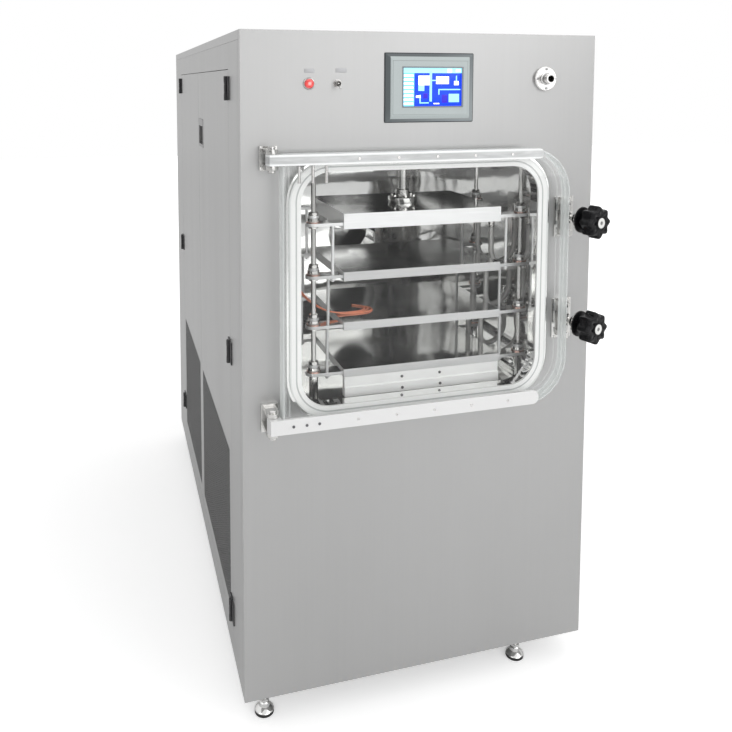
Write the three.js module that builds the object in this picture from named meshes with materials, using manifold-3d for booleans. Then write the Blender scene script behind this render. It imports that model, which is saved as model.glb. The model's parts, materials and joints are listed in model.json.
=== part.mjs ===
// Freeze dryer, floor-standing, with a square chamber, a clear door and shelves pressed from above.
//
// Millimetres, +Z up. While the pieces are made, x = 0 is the middle of the casing, y = 0 is the outer
// face of the front panel with +Y going back, and z = 0 is the underside of the casing. The group is
// moved at the end, so that its origin is the middle of the underside of the whole machine.

import * as THREE from 'three';
import { mergeVertices } from 'three/addons/utils/BufferGeometryUtils.js';
import Module from 'manifold-3d';

const wasm = await Module();
wasm.setup();

// ---------------------------------------------------------------- driving dimensions

const GAP = 0.3; // between pieces that rest on each other
const RUN = 0.4; // round a pin or rod that something turns or slides on

// casing
const CASE_W = 900;
const CASE_D = 1600;
const CASE_H = 1575;
const SHEET = 2.5; // panel thickness
const RETURN = 22; // folded edge of a panel
const BEAM = 40; // square section of the base frame
const PAN = 3; // floor of the machine room

// levelling feet: bottom of the casing to the floor, and where they stand
const FOOT_H = 75;
const FOOT_R = 24;
const SPINDLE_R = 8;
const FOOT_LEFT_X = -393;
const FOOT_RIGHT_X = 290;
const FOOT_INSET_Y = 52;

// mouth of the chamber, as its clear opening in the collar
const MOUTH_W = 601;
const MOUTH_H = 547;
const MOUTH_R = 70;
const MOUTH_X = -16.5;
const MOUTH_Z = 982.5;
const GASKET_W = 27; // width of the seal's face
const GASKET_T = 5.7;
const COLLAR_LIP = 6; // collar showing outside the seal
const COLLAR_OUT = 20; // collar standing out of the front panel
const CUTOUT_PAST = 2; // front panel's square cut-out past the mouth, hidden under the collar

// chamber vessel, inside sizes; its sides stand off the shelves' guide rods
const VESSEL_PAST_LEFT = 97;
const VESSEL_PAST_RIGHT = 79;
const VESSEL_H = 625;
const VESSEL_D = 588;
const VESSEL_R = 60;
const VESSEL_WALL = 5;
const VESSEL_FACE = 8; // front wall
const NECK_R = 85; // vapour duct to the cold trap
const NECK_BORE = 78;
const NECK_FLANGE_R = 110;
const NECK_L = 45;

// clear door: how far it reaches past the seal on each side
const DOOR_T = 35;
const DOOR_PAST_LEFT = 24;
const DOOR_PAST_RIGHT = 39;
const DOOR_PAST_TOP = 18;
const DOOR_PAST_BOTTOM = 12;
const DOOR_R = 110; // corners on the clamp side
const DOOR_R_HINGE = 5;
const DOOR_CHAMFER = 2.5;

// door bars and their hinges
const BAR_T = 8;
const BAR_TOP_H = 24;
const BAR_BOTTOM_H = 34;
const BAR_SHORT = 80; // bar's round end inside the door's clamp edge
const BAR_BOTTOM_UP = 4; // bottom bar above the door's lower edge
const HINGE_OFF = 20; // hinge axis outside the door's edge
const HINGE_OUT = 45; // hinge axis in front of the front panel
const HINGE_PIN_R = 5;
const HINGE_EYE_R = 14;
const HINGE_EAR = 10;
const HINGE_BASE_T = 9;
const HINGE_BASE_W = 40;

// swing bolts with star knobs
const CLAMP_OFF = 20; // pivot outside the door's clamp edge
const CLAMP_OUT = 18; // pivot in front of the front panel
const CLAMP_UP = [139.5, -120.5]; // pivots above the middle of the mouth
const CLAMP_NAMES = ['upper', 'lower'];
const CLAMP_SPLAY = 18; // degrees, resting clear of the door
const CLAMP_PIN_R = 6;
const CLAMP_EAR = 10;
const CLAMP_SPAN = 65; // between the ears
const CLAMP_PLATE_T = 4;
const EYE_R = 13;
const EYE_W = 26;
const BOLT_R = 7;
const BOLT_PAST_WASHER = 52;
const WASHER_CLEAR = 0.7; // closed washer to the door's face
const WASHER_R = 32;
const WASHER_T = 6;
const HUB_R = 18;
const HUB_L = 16; // washer to star
const STAR_T = 34;
const STAR_R = 40; // over the lobes
const STAR_DIP = 8; // lobe to valley
const STAR_LOBES = 8;
const STAR_BEVEL = 5;

// shelf stack: the top one is the pressing plate, the bottom one is fixed
const SHELF_W = 416;
const SHELF_D = 300;
const SHELF_X = 14;
const SHELF_Y = 195;
const SHELF_NAMES = ['top_shelf', 'shelf_2', 'shelf_3', 'bottom_shelf'];
const SHELF_UP = [438, 312, 191, 75]; // undersides above the chamber's floor
const SHELF_T = [38, 22, 20, 20];
const EAR_LIFT = [8, 7, 6, 6]; // ear above the shelf's underside
const EAR_T = 8;
const EAR_W = 40;
const ROD_R = 6;
const ROD_OUT = 69; // rods outside the shelf's edges
const ROD_SPREAD_Y = 125;
const BUSH_R = 13;
const BUSH_H = 26;
const HANGER_R = 4; // hanging bolts, staggered from shelf to shelf
const HANGER_OUT = 23; // first one outside the left edge of the shelf
const HANGER_STEP = 7;
const HANGER_STAGGER = 8;
const NUT_R = 7;
const NUT_H = 6;

// press above the chamber
const RAM_R = 11;
const RAM_DISC_R = 38;
const RAM_DISC_T = 14;
const RAM_BOSS_R = 19;
const RAM_BOSS_H = 12;
const RAM_L = 330; // from the pressing plate up
const PRESS_R = 46;
const PRESS_UNDER_ROOF = 37.7;

// heating and cooling hoses on the clamp side of the stack
const HOSE_R = 7;
const HOSE_OFF_WALL = 20; // hose axis to the chamber's wall
const HOSE_DROP = 75; // straight part above the loop
const HOSE_FIRST_Y = 125;
const HOSE_PITCH = 25;
const HOSE_COUNT = 6;
const FITTING_R = 8;
const FITTING_L = 12;
const SHELF_PORT_OUT = 16; // hose axis outside the shelf's edge

// tray rail under the front edge of the bottom shelf
const RAIL_SHORT = 2; // rail's ends inside the shelf's edges
const RAIL_H = 48;
const RAIL_T = 15;
const RAIL_STEP = 4;

// controls
const HMI_W = 222;
const HMI_H = 159;
const HMI_X = 2;
const HMI_Z = 1445.5;
const HMI_OUT = 9;
const HMI_SLOPE = 14; // width of the sloping sides
const SCREEN_W = 150;
const SCREEN_H = 90;
const SCREEN_X = 8;
const SCREEN_Z = 1447;
const SCREEN_IN = 4;
const LAMP_X = -292;
const TOGGLE_X = -225;
const CONTROL_Z = 1455;
const LAMP_R = 14;
const TOGGLE_R = 6.5;
const TOGGLE_TILT = 28; // degrees below straight out
const PORT_X = 309;
const PORT_Z = 1467;
const PORT_FLANGE_R = 30;
const PORT_R = 12;
const PORT_BORE = 8.5;
const PORT_OUT = 30;

// left side: a fixed pillar, two access doors and the rear margin
const PILLAR = 165;
const DOORS_MEET = 800;
const DOORS_END = 1370;
const LEFT_SEAM = 1; // extra seam between the front panel and the left side frame
const SIDE_DOOR_TOP = 1490;
const SIDE_DOOR_BOTTOM = 62;
const SIDE_DOOR_T = 20;
const SIDE_DOOR_CLEAR = 1.5;
const SIDE_STOP = 15; // rebate that the doors close on
const GRILLE_Z = [100, 525];
const GRILLE_SIDE = 34;
const GRILLE_DEEP = 1.2;
const LEAF_W = 26;
const LEAF_H = 56;
const LEAF_T = 3;
const KNUCKLE_R = 5;
const KNUCKLE_OUT = 5.5;
const KNUCKLE_H = 18;
const SIDE_PIN_R = 2.5;
const HINGES_FRONT = [1444, 795, 120];
const HINGES_REAR = [1446, 828, 180];
const HINGE_PLACES = ['top', 'middle', 'bottom'];
const PULL_W = 110;
const PULL_H = 87;
const PULL_Z = 1301.5;
const PULL_EDGE = 8; // from the seam

// machine room
const TRAP_R = 200;
const TRAP_L = 450;
const COMPRESSOR_R = 105;
const COMPRESSOR_H = 250;
const COMPRESSOR_AT = [60, 1100];
const CONDENSER_FINS = 14;
const CONDENSER_L = 410;
const CONDENSER_H = 430;
const CONDENSER_Y = 880;

// ---------------------------------------------------------------- derived places

const HALF_W = CASE_W / 2;
const ROOF_Z = CASE_H - RETURN;
const rad = THREE.MathUtils.degToRad;

const mouth = rectAt(MOUTH_X, MOUTH_Z, MOUTH_W, MOUTH_H, MOUTH_R);
const seal = grown(mouth, GASKET_W);
const collar = grown(seal, COLLAR_LIP);
const cutout = { ...grown(mouth, CUTOUT_PAST), r: 0 };

const shelf = {
  x0: SHELF_X - SHELF_W / 2,
  x1: SHELF_X + SHELF_W / 2,
  y0: SHELF_Y - SHELF_D / 2,
  y1: SHELF_Y + SHELF_D / 2,
};
const ROD_XS = [shelf.x0 - ROD_OUT, shelf.x1 + ROD_OUT];
const ROD_YS = [SHELF_Y - ROD_SPREAD_Y, SHELF_Y + ROD_SPREAD_Y];
const RODS = ROD_YS.flatMap((y) => ROD_XS.map((x) => [x, y]));
const ROD_NAMES = ['front_left', 'front_right', 'rear_left', 'rear_right'];

const vesselIn = {
  x0: ROD_XS[0] - VESSEL_PAST_LEFT,
  x1: ROD_XS[1] + VESSEL_PAST_RIGHT,
  z0: MOUTH_Z - VESSEL_H / 2,
  z1: MOUTH_Z + VESSEL_H / 2,
  r: VESSEL_R,
};
const vesselOut = grown(vesselIn, VESSEL_WALL);
const VESSEL_X = (vesselIn.x0 + vesselIn.x1) / 2;
const VESSEL_Y0 = SHEET + GAP;
const VESSEL_Y1 = VESSEL_Y0 + VESSEL_FACE + VESSEL_D;
const NECK_END = VESSEL_Y1 + VESSEL_WALL + NECK_L;

const DOOR_BACK = COLLAR_OUT + GASKET_T + 2 * GAP;
const DOOR_FRONT = DOOR_BACK + DOOR_T;
const door = {
  x0: seal.x0 - DOOR_PAST_LEFT,
  x1: seal.x1 + DOOR_PAST_RIGHT,
  z0: seal.z0 - DOOR_PAST_BOTTOM,
  z1: seal.z1 + DOOR_PAST_TOP,
};
const HINGE_X = door.x0 - HINGE_OFF;
const CLAMP_X = door.x1 + CLAMP_OFF;
const KNOB_START = DOOR_FRONT - CLAMP_OUT + WASHER_CLEAR; // washer's face, from the pivot
const BOLT_L = KNOB_START + BOLT_PAST_WASHER;
const STAR_START = KNOB_START + WASHER_T + HUB_L;
const BAR_TOP_Z = [door.z1 - BAR_TOP_H, door.z1];
const BAR_BOTTOM_Z = [door.z0 + BAR_BOTTOM_UP, door.z0 + BAR_BOTTOM_UP + BAR_BOTTOM_H];

const SHELF_Z = SHELF_UP.map((up) => vesselIn.z0 + up);
const PLATE_TOP = SHELF_Z[0] + SHELF_T[0];
const HOSE_SHELF_X = shelf.x1 + SHELF_PORT_OUT;
const HOSE_WALL_X = vesselIn.x1 - HOSE_OFF_WALL;
const HOSE_LOOP = (HOSE_WALL_X - HOSE_SHELF_X) / 2; // bend radius of the hanging loop

// ---------------------------------------------------------------- geometry helpers

function rectAt(x, z, w, h, r) {
  return { x0: x - w / 2, x1: x + w / 2, z0: z - h / 2, z1: z + h / 2, r };
}

function grown(rect, by) {
  return { x0: rect.x0 - by, x1: rect.x1 + by, z0: rect.z0 - by, z1: rect.z1 + by, r: rect.r + by };
}

// Rounded rectangle outline; corner radii go anticlockwise from the lower left.
function outline(rect, radii = [rect.r, rect.r, rect.r, rect.r]) {
  const { x0, x1, z0, z1 } = rect;
  const [a, b, c, d] = radii;
  const shape = new THREE.Shape();
  shape.moveTo(x0 + a, z0);
  shape.lineTo(x1 - b, z0);
  if (b) shape.absarc(x1 - b, z0 + b, b, -Math.PI / 2, 0);
  shape.lineTo(x1, z1 - c);
  if (c) shape.absarc(x1 - c, z1 - c, c, 0, Math.PI / 2);
  shape.lineTo(x0 + d, z1);
  if (d) shape.absarc(x0 + d, z1 - d, d, Math.PI / 2, Math.PI);
  shape.lineTo(x0, z0 + a);
  if (a) shape.absarc(x0 + a, z0 + a, a, Math.PI, 1.5 * Math.PI);
  return shape;
}

function polygon(points) {
  return new THREE.Shape(points.map(([a, b]) => new THREE.Vector2(a, b)));
}

// A tab outline: straight from (x - r) to (x + r) at yBase, round about (x, y).
function tabOutline(x, y, r, yBase) {
  const shape = new THREE.Shape();
  if (yBase > y) {
    shape.moveTo(x + r, yBase);
    shape.lineTo(x - r, yBase);
    shape.lineTo(x - r, y);
    shape.absarc(x, y, r, Math.PI, 2 * Math.PI);
  } else {
    shape.moveTo(x - r, yBase);
    shape.lineTo(x + r, yBase);
    shape.lineTo(x + r, y);
    shape.absarc(x, y, r, 0, Math.PI);
  }
  return shape;
}

function block(x0, x1, y0, y1, z0, z1) {
  const box = new THREE.BoxGeometry(x1 - x0, y1 - y0, z1 - z0);
  return box.translate((x0 + x1) / 2, (y0 + y1) / 2, (z0 + z1) / 2);
}

function extruded(shape, length, options) {
  return new THREE.ExtrudeGeometry(shape, { depth: length, bevelEnabled: false, curveSegments: 5, ...options });
}

// shape in x and z, from y0 back to y1
function prismY(shape, y0, y1, options) {
  return extruded(shape, y1 - y0, options).rotateX(Math.PI / 2).translate(0, y1, 0);
}

// shape in x and y, from z0 up to z1
function prismZ(shape, z0, z1, options) {
  return extruded(shape, z1 - z0, options).translate(0, 0, z0);
}

// shape in y and z, from x0 to x1
function prismX(shape, x0, x1) {
  const turn = new THREE.Matrix4().set(0, 0, 1, 0, 1, 0, 0, 0, 0, 1, 0, 0, 0, 0, 0, 1);
  return extruded(shape, x1 - x0).applyMatrix4(turn).translate(x0, 0, 0);
}

// [radius, height] pairs from the bottom of the axis to its top, turned about Z
function turned(profile, sides = 16) {
  const points = profile.map(([r, h]) => new THREE.Vector2(r, h));
  return new THREE.LatheGeometry(points, sides).rotateX(Math.PI / 2);
}

// the same, with heights measured out of the front panel, towards -Y
function turnedOut(profile, x, z, sides = 16) {
  return turned(profile, sides).rotateX(Math.PI / 2).translate(x, 0, z);
}

function rodZ(r, x, y, z0, z1, sides = 12) {
  return turned([[0, z0], [r, z0], [r, z1], [0, z1]], sides).translate(x, y, 0);
}

function rodY(r, x, z, y0, y1, sides = 16) {
  return turnedOut([[0, -y1], [r, -y1], [r, -y0], [0, -y0]], x, z, sides);
}

function rodX(r, y, z, x0, x1, sides = 8) {
  return turned([[0, x0], [r, x0], [r, x1], [0, x1]], sides).rotateY(Math.PI / 2).translate(0, y, z);
}

function solid(geometry) {
  const bare = geometry.clone();
  bare.deleteAttribute('normal');
  bare.deleteAttribute('uv');
  const merged = mergeVertices(bare, 1e-4);
  const index = merged.index.array;
  const kept = [];
  for (let i = 0; i < index.length; i += 3) {
    const [a, b, c] = [index[i], index[i + 1], index[i + 2]];
    if (a !== b && b !== c && c !== a) kept.push(a, b, c);
  }
  const vertProperties = new Float32Array(merged.attributes.position.array);
  return new wasm.Manifold(new wasm.Mesh({ numProp: 3, vertProperties, triVerts: new Uint32Array(kept) }));
}

function geometryOf(manifold) {
  const mesh = manifold.getMesh();
  const geometry = new THREE.BufferGeometry();
  geometry.setAttribute('position', new THREE.BufferAttribute(new Float32Array(mesh.vertProperties), 3));
  geometry.setIndex(new THREE.BufferAttribute(new Uint32Array(mesh.triVerts), 1));
  geometry.computeVertexNormals();
  return geometry;
}

function join(...pieces) {
  return geometryOf(pieces.map(solid).reduce((a, b) => a.add(b)));
}

function cut(base, ...tools) {
  return geometryOf(tools.map(solid).reduce((a, b) => a.subtract(b), solid(base)));
}

// ---------------------------------------------------------------- materials

function paint(color, roughness, metalness, extra = {}) {
  return new THREE.MeshStandardMaterial({ color, roughness, metalness, flatShading: true, ...extra });
}

const satinSteel = () => paint(0xb9bab9, 0.42, 0.9);
const polishedSteel = () => paint(0xd5d6d6, 0.12, 1);
const brightSteel = () => paint(0xd8d8d6, 0.25, 1);
const blackPlastic = () => paint(0x151516, 0.35, 0);
const blackMetal = () => paint(0x1c1c1e, 0.45, 0.5);
const frameSteel = () => paint(0x8d8f91, 0.55, 0.8);

const group = new THREE.Group();
group.name = 'freeze_dryer';

function add(name, geometry, material, parent = group) {
  const mesh = new THREE.Mesh(geometry, material);
  mesh.name = name;
  parent.add(mesh);
  return mesh;
}

// ---------------------------------------------------------------- casing

// Folded sheet: a panel with its edges turned in by RETURN.
function frontPanel() {
  const tray = cut(
    block(-HALF_W, HALF_W, 0, RETURN, 0, CASE_H),
    block(-HALF_W + SHEET, HALF_W - SHEET, SHEET, RETURN + 1, SHEET, CASE_H - SHEET),
  );
  const through = [-1, SHEET + 1];
  return cut(
    tray,
    prismY(outline(cutout), ...through),
    prismY(outline(rectAt(HMI_X, HMI_Z, HMI_W - 9, HMI_H - 9, 0)), ...through),
    rodY(LAMP_R - 3 + RUN, LAMP_X, CONTROL_Z, ...through),
    rodY(TOGGLE_R - 1 + RUN, TOGGLE_X, CONTROL_Z, ...through),
    rodY(PORT_R + RUN, PORT_X, PORT_Z, ...through),
  );
}

function rearPanel() {
  const y1 = CASE_D;
  return cut(
    block(-HALF_W, HALF_W, y1 - RETURN, y1, 0, CASE_H),
    block(-HALF_W + SHEET, HALF_W - SHEET, y1 - RETURN - 1, y1 - SHEET, SHEET, CASE_H - SHEET),
  );
}

function topCover() {
  const y0 = RETURN + GAP;
  return cut(
    block(-HALF_W, HALF_W, y0, CASE_D - y0, ROOF_Z, CASE_H),
    block(-HALF_W + SHEET, HALF_W - SHEET, y0 - 1, CASE_D - y0 + 1, ROOF_Z - 1, CASE_H - SHEET),
  );
}

// Side sheet with a stiffening rim inside it. x0 is its outer face, and inward is +1 or -1.
// seam widens the joint to the front panel's folded edge.
function sideSheet(x0, inward, seam = 0) {
  const [y0, y1] = [RETURN + GAP + seam, CASE_D - RETURN - GAP];
  const span = (depth) => [x0, x0 + inward * depth].sort((a, b) => a - b);
  const rimY = [y0 + GAP, y1 - GAP];
  const rimZ = [BEAM + PAN + GAP, ROOF_Z - 2 * GAP];
  const sheet = block(...span(SHEET), y0, y1, 0, ROOF_Z - GAP);
  const rim = cut(
    block(...span(RETURN), ...rimY, ...rimZ),
    block(...span(RETURN + 1), rimY[0] + SHEET, rimY[1] - SHEET, rimZ[0] + SHEET, rimZ[1] - SHEET),
  );
  return join(sheet, rim);
}

// Halves of a side hinge about the vertical axis (KNUCKLE_X, y). side is +1 for the half towards +Y.
const KNUCKLE_X = -HALF_W - KNUCKLE_OUT;

function hingeLeaf(y, z, side, middle, root) {
  const across = (near, far) => [y + side * near, y + side * far].sort((a, b) => a - b);
  const faces = [-HALF_W - GAP - LEAF_T, root];
  const half = LEAF_H / 2;
  const third = KNUCKLE_H / 2;
  const bands = middle ? [[-third, third]] : [[-half, -third - RUN], [third + RUN, half]];
  const pieces = [block(...faces, ...across(KNUCKLE_R + 0.6, LEAF_W), z - half, z + half)];
  for (const [low, high] of bands) {
    pieces.push(block(...faces, ...across(0, KNUCKLE_R + 1), z + low, z + high));
    pieces.push(rodZ(KNUCKLE_R, KNUCKLE_X, y, z + low, z + high, 8));
  }
  if (!middle) {
    pieces.push(rodZ(SIDE_PIN_R, KNUCKLE_X, y, z - half + 1, z + half - 1, 8));
    return join(...pieces);
  }
  return cut(join(...pieces), rodZ(SIDE_PIN_R + RUN, KNUCKLE_X, y, z - half, z + half, 8));
}

function leftSideFrame() {
  const x0 = -HALF_W;
  const stopX = x0 + SIDE_DOOR_T + 0.6;
  const stop = [stopX, stopX + 8];
  const z = [SIDE_DOOR_BOTTOM, SIDE_DOOR_TOP];
  const hole = block(x0 - 1, x0 + SHEET + 1, PILLAR, DOORS_END, ...z);
  const jamb = cut(
    block(x0 + 0.1, stop[1], PILLAR - SHEET, DOORS_END + SHEET, z[0] - SHEET, z[1] + SHEET),
    block(x0 - 1, stop[1] + 1, PILLAR, DOORS_END, ...z),
  );
  const rebate = cut(
    block(...stop, PILLAR - 1, DOORS_END + 1, z[0] - 1, z[1] + 1),
    block(x0, stop[1] + 1, PILLAR + SIDE_STOP, DOORS_END - SIDE_STOP, z[0] + SIDE_STOP, z[1] - SIDE_STOP),
  );
  const mullion = block(...stop, DOORS_MEET - SIDE_STOP, DOORS_MEET + SIDE_STOP, z[0] - 1, z[1] + 1);
  const leaves = [
    ...HINGES_FRONT.map((at) => hingeLeaf(PILLAR, at, -1, false, x0 + 1)),
    ...HINGES_REAR.map((at) => hingeLeaf(DOORS_END, at, 1, false, x0 + 1)),
  ];
  return join(cut(sideSheet(x0, 1, LEFT_SEAM), hole), jamb, rebate, mullion, ...leaves);
}

// Access door: a folded tray with a shallow field for the perforated grille.
function sideDoor(y0, y1, seamSide) {
  const x0 = -HALF_W;
  const [a, b] = [y0 + SIDE_DOOR_CLEAR, y1 - SIDE_DOOR_CLEAR];
  const [c, d] = [SIDE_DOOR_BOTTOM + SIDE_DOOR_CLEAR, SIDE_DOOR_TOP - SIDE_DOOR_CLEAR];
  const tray = cut(
    block(x0, x0 + SIDE_DOOR_T, a, b, c, d),
    block(x0 + SHEET, x0 + SIDE_DOOR_T + 1, a + SHEET, b - SHEET, c + SHEET, d - SHEET),
  );
  const field = [y0 + GRILLE_SIDE, y1 - GRILLE_SIDE];
  const grille = block(x0 - 1, x0 + GRILLE_DEEP, ...field, ...GRILLE_Z);
  if (!seamSide) return cut(tray, grille);
  const pull = pullPlace();
  return cut(tray, grille, block(x0 - 1, x0 + SHEET + 1, pull.y0 - GAP, pull.y1 + GAP, pull.z0 - GAP, pull.z1 + GAP));
}

function pullPlace() {
  const y1 = DOORS_MEET - SIDE_DOOR_CLEAR - PULL_EDGE;
  return { y0: y1 - PULL_W, y1, z0: PULL_Z - PULL_H / 2, z1: PULL_Z + PULL_H / 2 };
}

// Flush pull: a cup let into the door, with a finger recess under an upper lip.
function flushPull() {
  const p = pullPlace();
  const x0 = -HALF_W - 1;
  const cup = block(x0, x0 + 16, p.y0, p.y1, p.z0, p.z1);
  const recess = block(x0 - 1, x0 + 13, p.y0 + 9, p.y1 - 9, p.z0 + 9, p.z1 - 22);
  const undercut = block(x0 + 4, x0 + 13, p.y0 + 9, p.y1 - 9, p.z0 + 9, p.z1 - 12);
  return cut(cup, recess, undercut);
}

function baseFrame() {
  const x = HALF_W - SHEET - GAP;
  const y = [RETURN + 2 * GAP, CASE_D - RETURN - 2 * GAP];
  const beams = cut(block(-x, x, ...y, 0, BEAM), block(-x + BEAM, x - BEAM, y[0] + BEAM, y[1] - BEAM, -1, BEAM + 1));
  const cross = [0.4, 0.7].map((share) => {
    const at = y[0] + share * (y[1] - y[0]);
    return block(-x + 1, x - 1, at - BEAM / 2, at + BEAM / 2, 0, BEAM);
  });
  const footPlates = [FOOT_LEFT_X, FOOT_RIGHT_X].flatMap((fx) => footYs().map(
    (fy) => block(fx - FOOT_R - 4, fx + FOOT_R + 4, fy - FOOT_R - 4, fy + FOOT_R + 4, 0, BEAM),
  ));
  const pan = block(-x, x, ...y, BEAM - 0.5, BEAM + PAN);
  return join(beams, ...cross, ...footPlates, pan);
}

function footYs() {
  return [FOOT_INSET_Y, CASE_D - FOOT_INSET_Y];
}

function foot() {
  return turned([
    [0, -FOOT_H],
    [FOOT_R, -FOOT_H],
    [FOOT_R, -FOOT_H + 8],
    [SPINDLE_R + 6, -FOOT_H + 20],
    [SPINDLE_R, -FOOT_H + 27],
    [SPINDLE_R, -14],
    [SPINDLE_R + 6, -14],
    [SPINDLE_R + 6, -GAP],
    [0, -GAP],
  ], 12);
}

add('front_panel', frontPanel(), satinSteel());
add('rear_panel', rearPanel(), satinSteel());
add('top_cover', topCover(), satinSteel());
add('right_side_panel', sideSheet(HALF_W, -1), satinSteel());
add('left_side_frame', leftSideFrame(), satinSteel());
add('base_frame', baseFrame(), frameSteel());

const frontDoor = new THREE.Group();
const rearDoor = new THREE.Group();
group.add(frontDoor, rearDoor);
add('left_front_door', sideDoor(PILLAR, DOORS_MEET, true), satinSteel(), frontDoor);
add('left_rear_door', sideDoor(DOORS_MEET, DOORS_END, false), satinSteel(), rearDoor);
add('flush_pull', flushPull(), brightSteel(), frontDoor);
HINGE_PLACES.forEach((place, i) => {
  const root = -HALF_W - GAP;
  add(`front_door_hinge_${place}`, hingeLeaf(PILLAR, HINGES_FRONT[i], 1, true, root), blackMetal(), frontDoor);
  add(`rear_door_hinge_${place}`, hingeLeaf(DOORS_END, HINGES_REAR[i], -1, true, root), blackMetal(), rearDoor);
});

footYs().forEach((fy, row) => {
  [FOOT_LEFT_X, FOOT_RIGHT_X].forEach((fx, side) => {
    const name = `foot_${row ? 'rear' : 'front'}_${side ? 'right' : 'left'}`;
    add(name, foot(), brightSteel()).position.set(fx, fy, 0);
  });
});

// ---------------------------------------------------------------- chamber

function chamberVessel() {
  const shell = join(
    prismY(outline(vesselOut), VESSEL_Y0, VESSEL_Y1 + VESSEL_WALL),
    prismY(outline(collar), -COLLAR_OUT, -GAP),
    prismY(outline(grown(mouth, CUTOUT_PAST - GAP)), -GAP - 1, VESSEL_Y0 + 1),
    rodY(NECK_R, VESSEL_X, MOUTH_Z, VESSEL_Y1, NECK_END),
    rodY(NECK_FLANGE_R, VESSEL_X, MOUTH_Z, NECK_END - 8, NECK_END),
  );
  return cut(
    shell,
    prismY(outline(vesselIn), VESSEL_Y0 + VESSEL_FACE, VESSEL_Y1),
    prismY(outline(mouth), -COLLAR_OUT - 1, VESSEL_Y0 + VESSEL_FACE + 1),
    rodY(NECK_BORE, VESSEL_X, MOUTH_Z, VESSEL_Y1 - 1, NECK_END + 1),
    rodZ(RAM_R + RUN, SHELF_X, SHELF_Y, vesselIn.z1 - 1, vesselOut.z1 + 1),
  );
}

function doorGasket() {
  const face = outline(seal);
  face.holes.push(outline(mouth));
  return prismY(face, -COLLAR_OUT - GAP - GASKET_T, -COLLAR_OUT - GAP);
}

add('chamber_vessel', chamberVessel(), polishedSteel());
add('door_gasket', doorGasket(), paint(0xeff0ee, 0.6, 0));

// ---------------------------------------------------------------- chamber door

function clearDoor() {
  const shape = outline(door, [DOOR_R_HINGE, DOOR_R, DOOR_R, DOOR_R_HINGE]);
  const bevel = {
    bevelEnabled: true,
    bevelSegments: 1,
    bevelSize: DOOR_CHAMFER,
    bevelThickness: DOOR_CHAMFER,
    bevelOffset: -DOOR_CHAMFER,
    curveSegments: 6,
  };
  return prismY(shape, -DOOR_FRONT + DOOR_CHAMFER, -DOOR_BACK - DOOR_CHAMFER, bevel);
}

// Bar across the door's face, with a round end and an eye reaching back to the hinge axis.
function doorBar(z0, z1) {
  const y = [-DOOR_FRONT - GAP - BAR_T, -DOOR_FRONT - GAP];
  const h = z1 - z0;
  const face = outline(
    { x0: HINGE_X, x1: door.x1 - BAR_SHORT, z0, z1, r: 0 },
    [0, h * 0.45, h * 0.45, 0],
  );
  const arm = polygon([
    [HINGE_X - HINGE_EYE_R, -HINGE_OUT],
    [HINGE_X - HINGE_EYE_R * 0.7, y[0]],
    [door.x0 + 6, y[0]],
    [door.x0 + 6, y[1]],
    [door.x0 - 3, y[1]],
    [HINGE_X + HINGE_EYE_R, -HINGE_OUT],
  ]);
  return cut(
    join(prismY(face, ...y), prismZ(arm, z0, z1), rodZ(HINGE_EYE_R, HINGE_X, -HINGE_OUT, z0, z1, 16)),
    rodZ(HINGE_PIN_R + RUN, HINGE_X, -HINGE_OUT, z0 - 1, z1 + 1),
  );
}

// Fork on the front panel, with its pin, round a bar's eye at z0 to z1.
function hingeBracket(z0, z1) {
  const back = -GAP;
  const low = [z0 - RUN - HINGE_EAR, z0 - RUN];
  const high = [z1 + RUN, z1 + RUN + HINGE_EAR];
  const ear = tabOutline(HINGE_X, -HINGE_OUT, HINGE_EYE_R, back);
  const pin = turned([
    [0, low[0] - 4],
    [HINGE_PIN_R + 3, low[0] - 4],
    [HINGE_PIN_R + 3, low[0] + 1],
    [HINGE_PIN_R, low[0] + 1],
    [HINGE_PIN_R, high[1] - 1],
    [HINGE_PIN_R + 3, high[1] - 1],
    [HINGE_PIN_R + 3, high[1] + 4],
    [0, high[1] + 4],
  ], 12).translate(HINGE_X, -HINGE_OUT, 0);
  const half = HINGE_BASE_W / 2;
  const base = block(HINGE_X - half, HINGE_X + half, -HINGE_BASE_T, back, low[0] - 5, high[1] + 5);
  return join(base, prismZ(ear, ...low), prismZ(ear, ...high), pin);
}

const chamberDoor = new THREE.Group();
group.add(chamberDoor);
const clear = paint(0xcfe0dc, 0.05, 0, { transparent: true, opacity: 0.3 });
add('acrylic_door', clearDoor(), clear, chamberDoor);
add('door_bar_top', doorBar(...BAR_TOP_Z), brightSteel(), chamberDoor);
add('door_bar_bottom', doorBar(...BAR_BOTTOM_Z), brightSteel(), chamberDoor);
add('hinge_bracket_top', hingeBracket(...BAR_TOP_Z), brightSteel());
add('hinge_bracket_bottom', hingeBracket(...BAR_BOTTOM_Z), brightSteel());

// ---------------------------------------------------------------- clamps

// Two ears on a plate, with a pin whose collars keep the bolt's eye in the middle. Pivot at the origin.
function clampBracket() {
  const back = CLAMP_OUT - GAP;
  const inner = CLAMP_SPAN / 2;
  const outer = inner + CLAMP_EAR;
  const ear = tabOutline(0, 0, CLAMP_PIN_R + 6, back);
  const free = EYE_W / 2 + RUN;
  const pin = turned([
    [0, -outer - 4],
    [CLAMP_PIN_R + 2.5, -outer - 4],
    [CLAMP_PIN_R + 2.5, -free],
    [CLAMP_PIN_R, -free],
    [CLAMP_PIN_R, free],
    [CLAMP_PIN_R + 2.5, free],
    [CLAMP_PIN_R + 2.5, outer + 4],
    [0, outer + 4],
  ], 12);
  const plate = block(-27, 27, back - CLAMP_PLATE_T, back, -outer - 8, outer + 8);
  return join(plate, prismZ(ear, -outer, -inner), prismZ(ear, inner, outer), pin);
}

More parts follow.
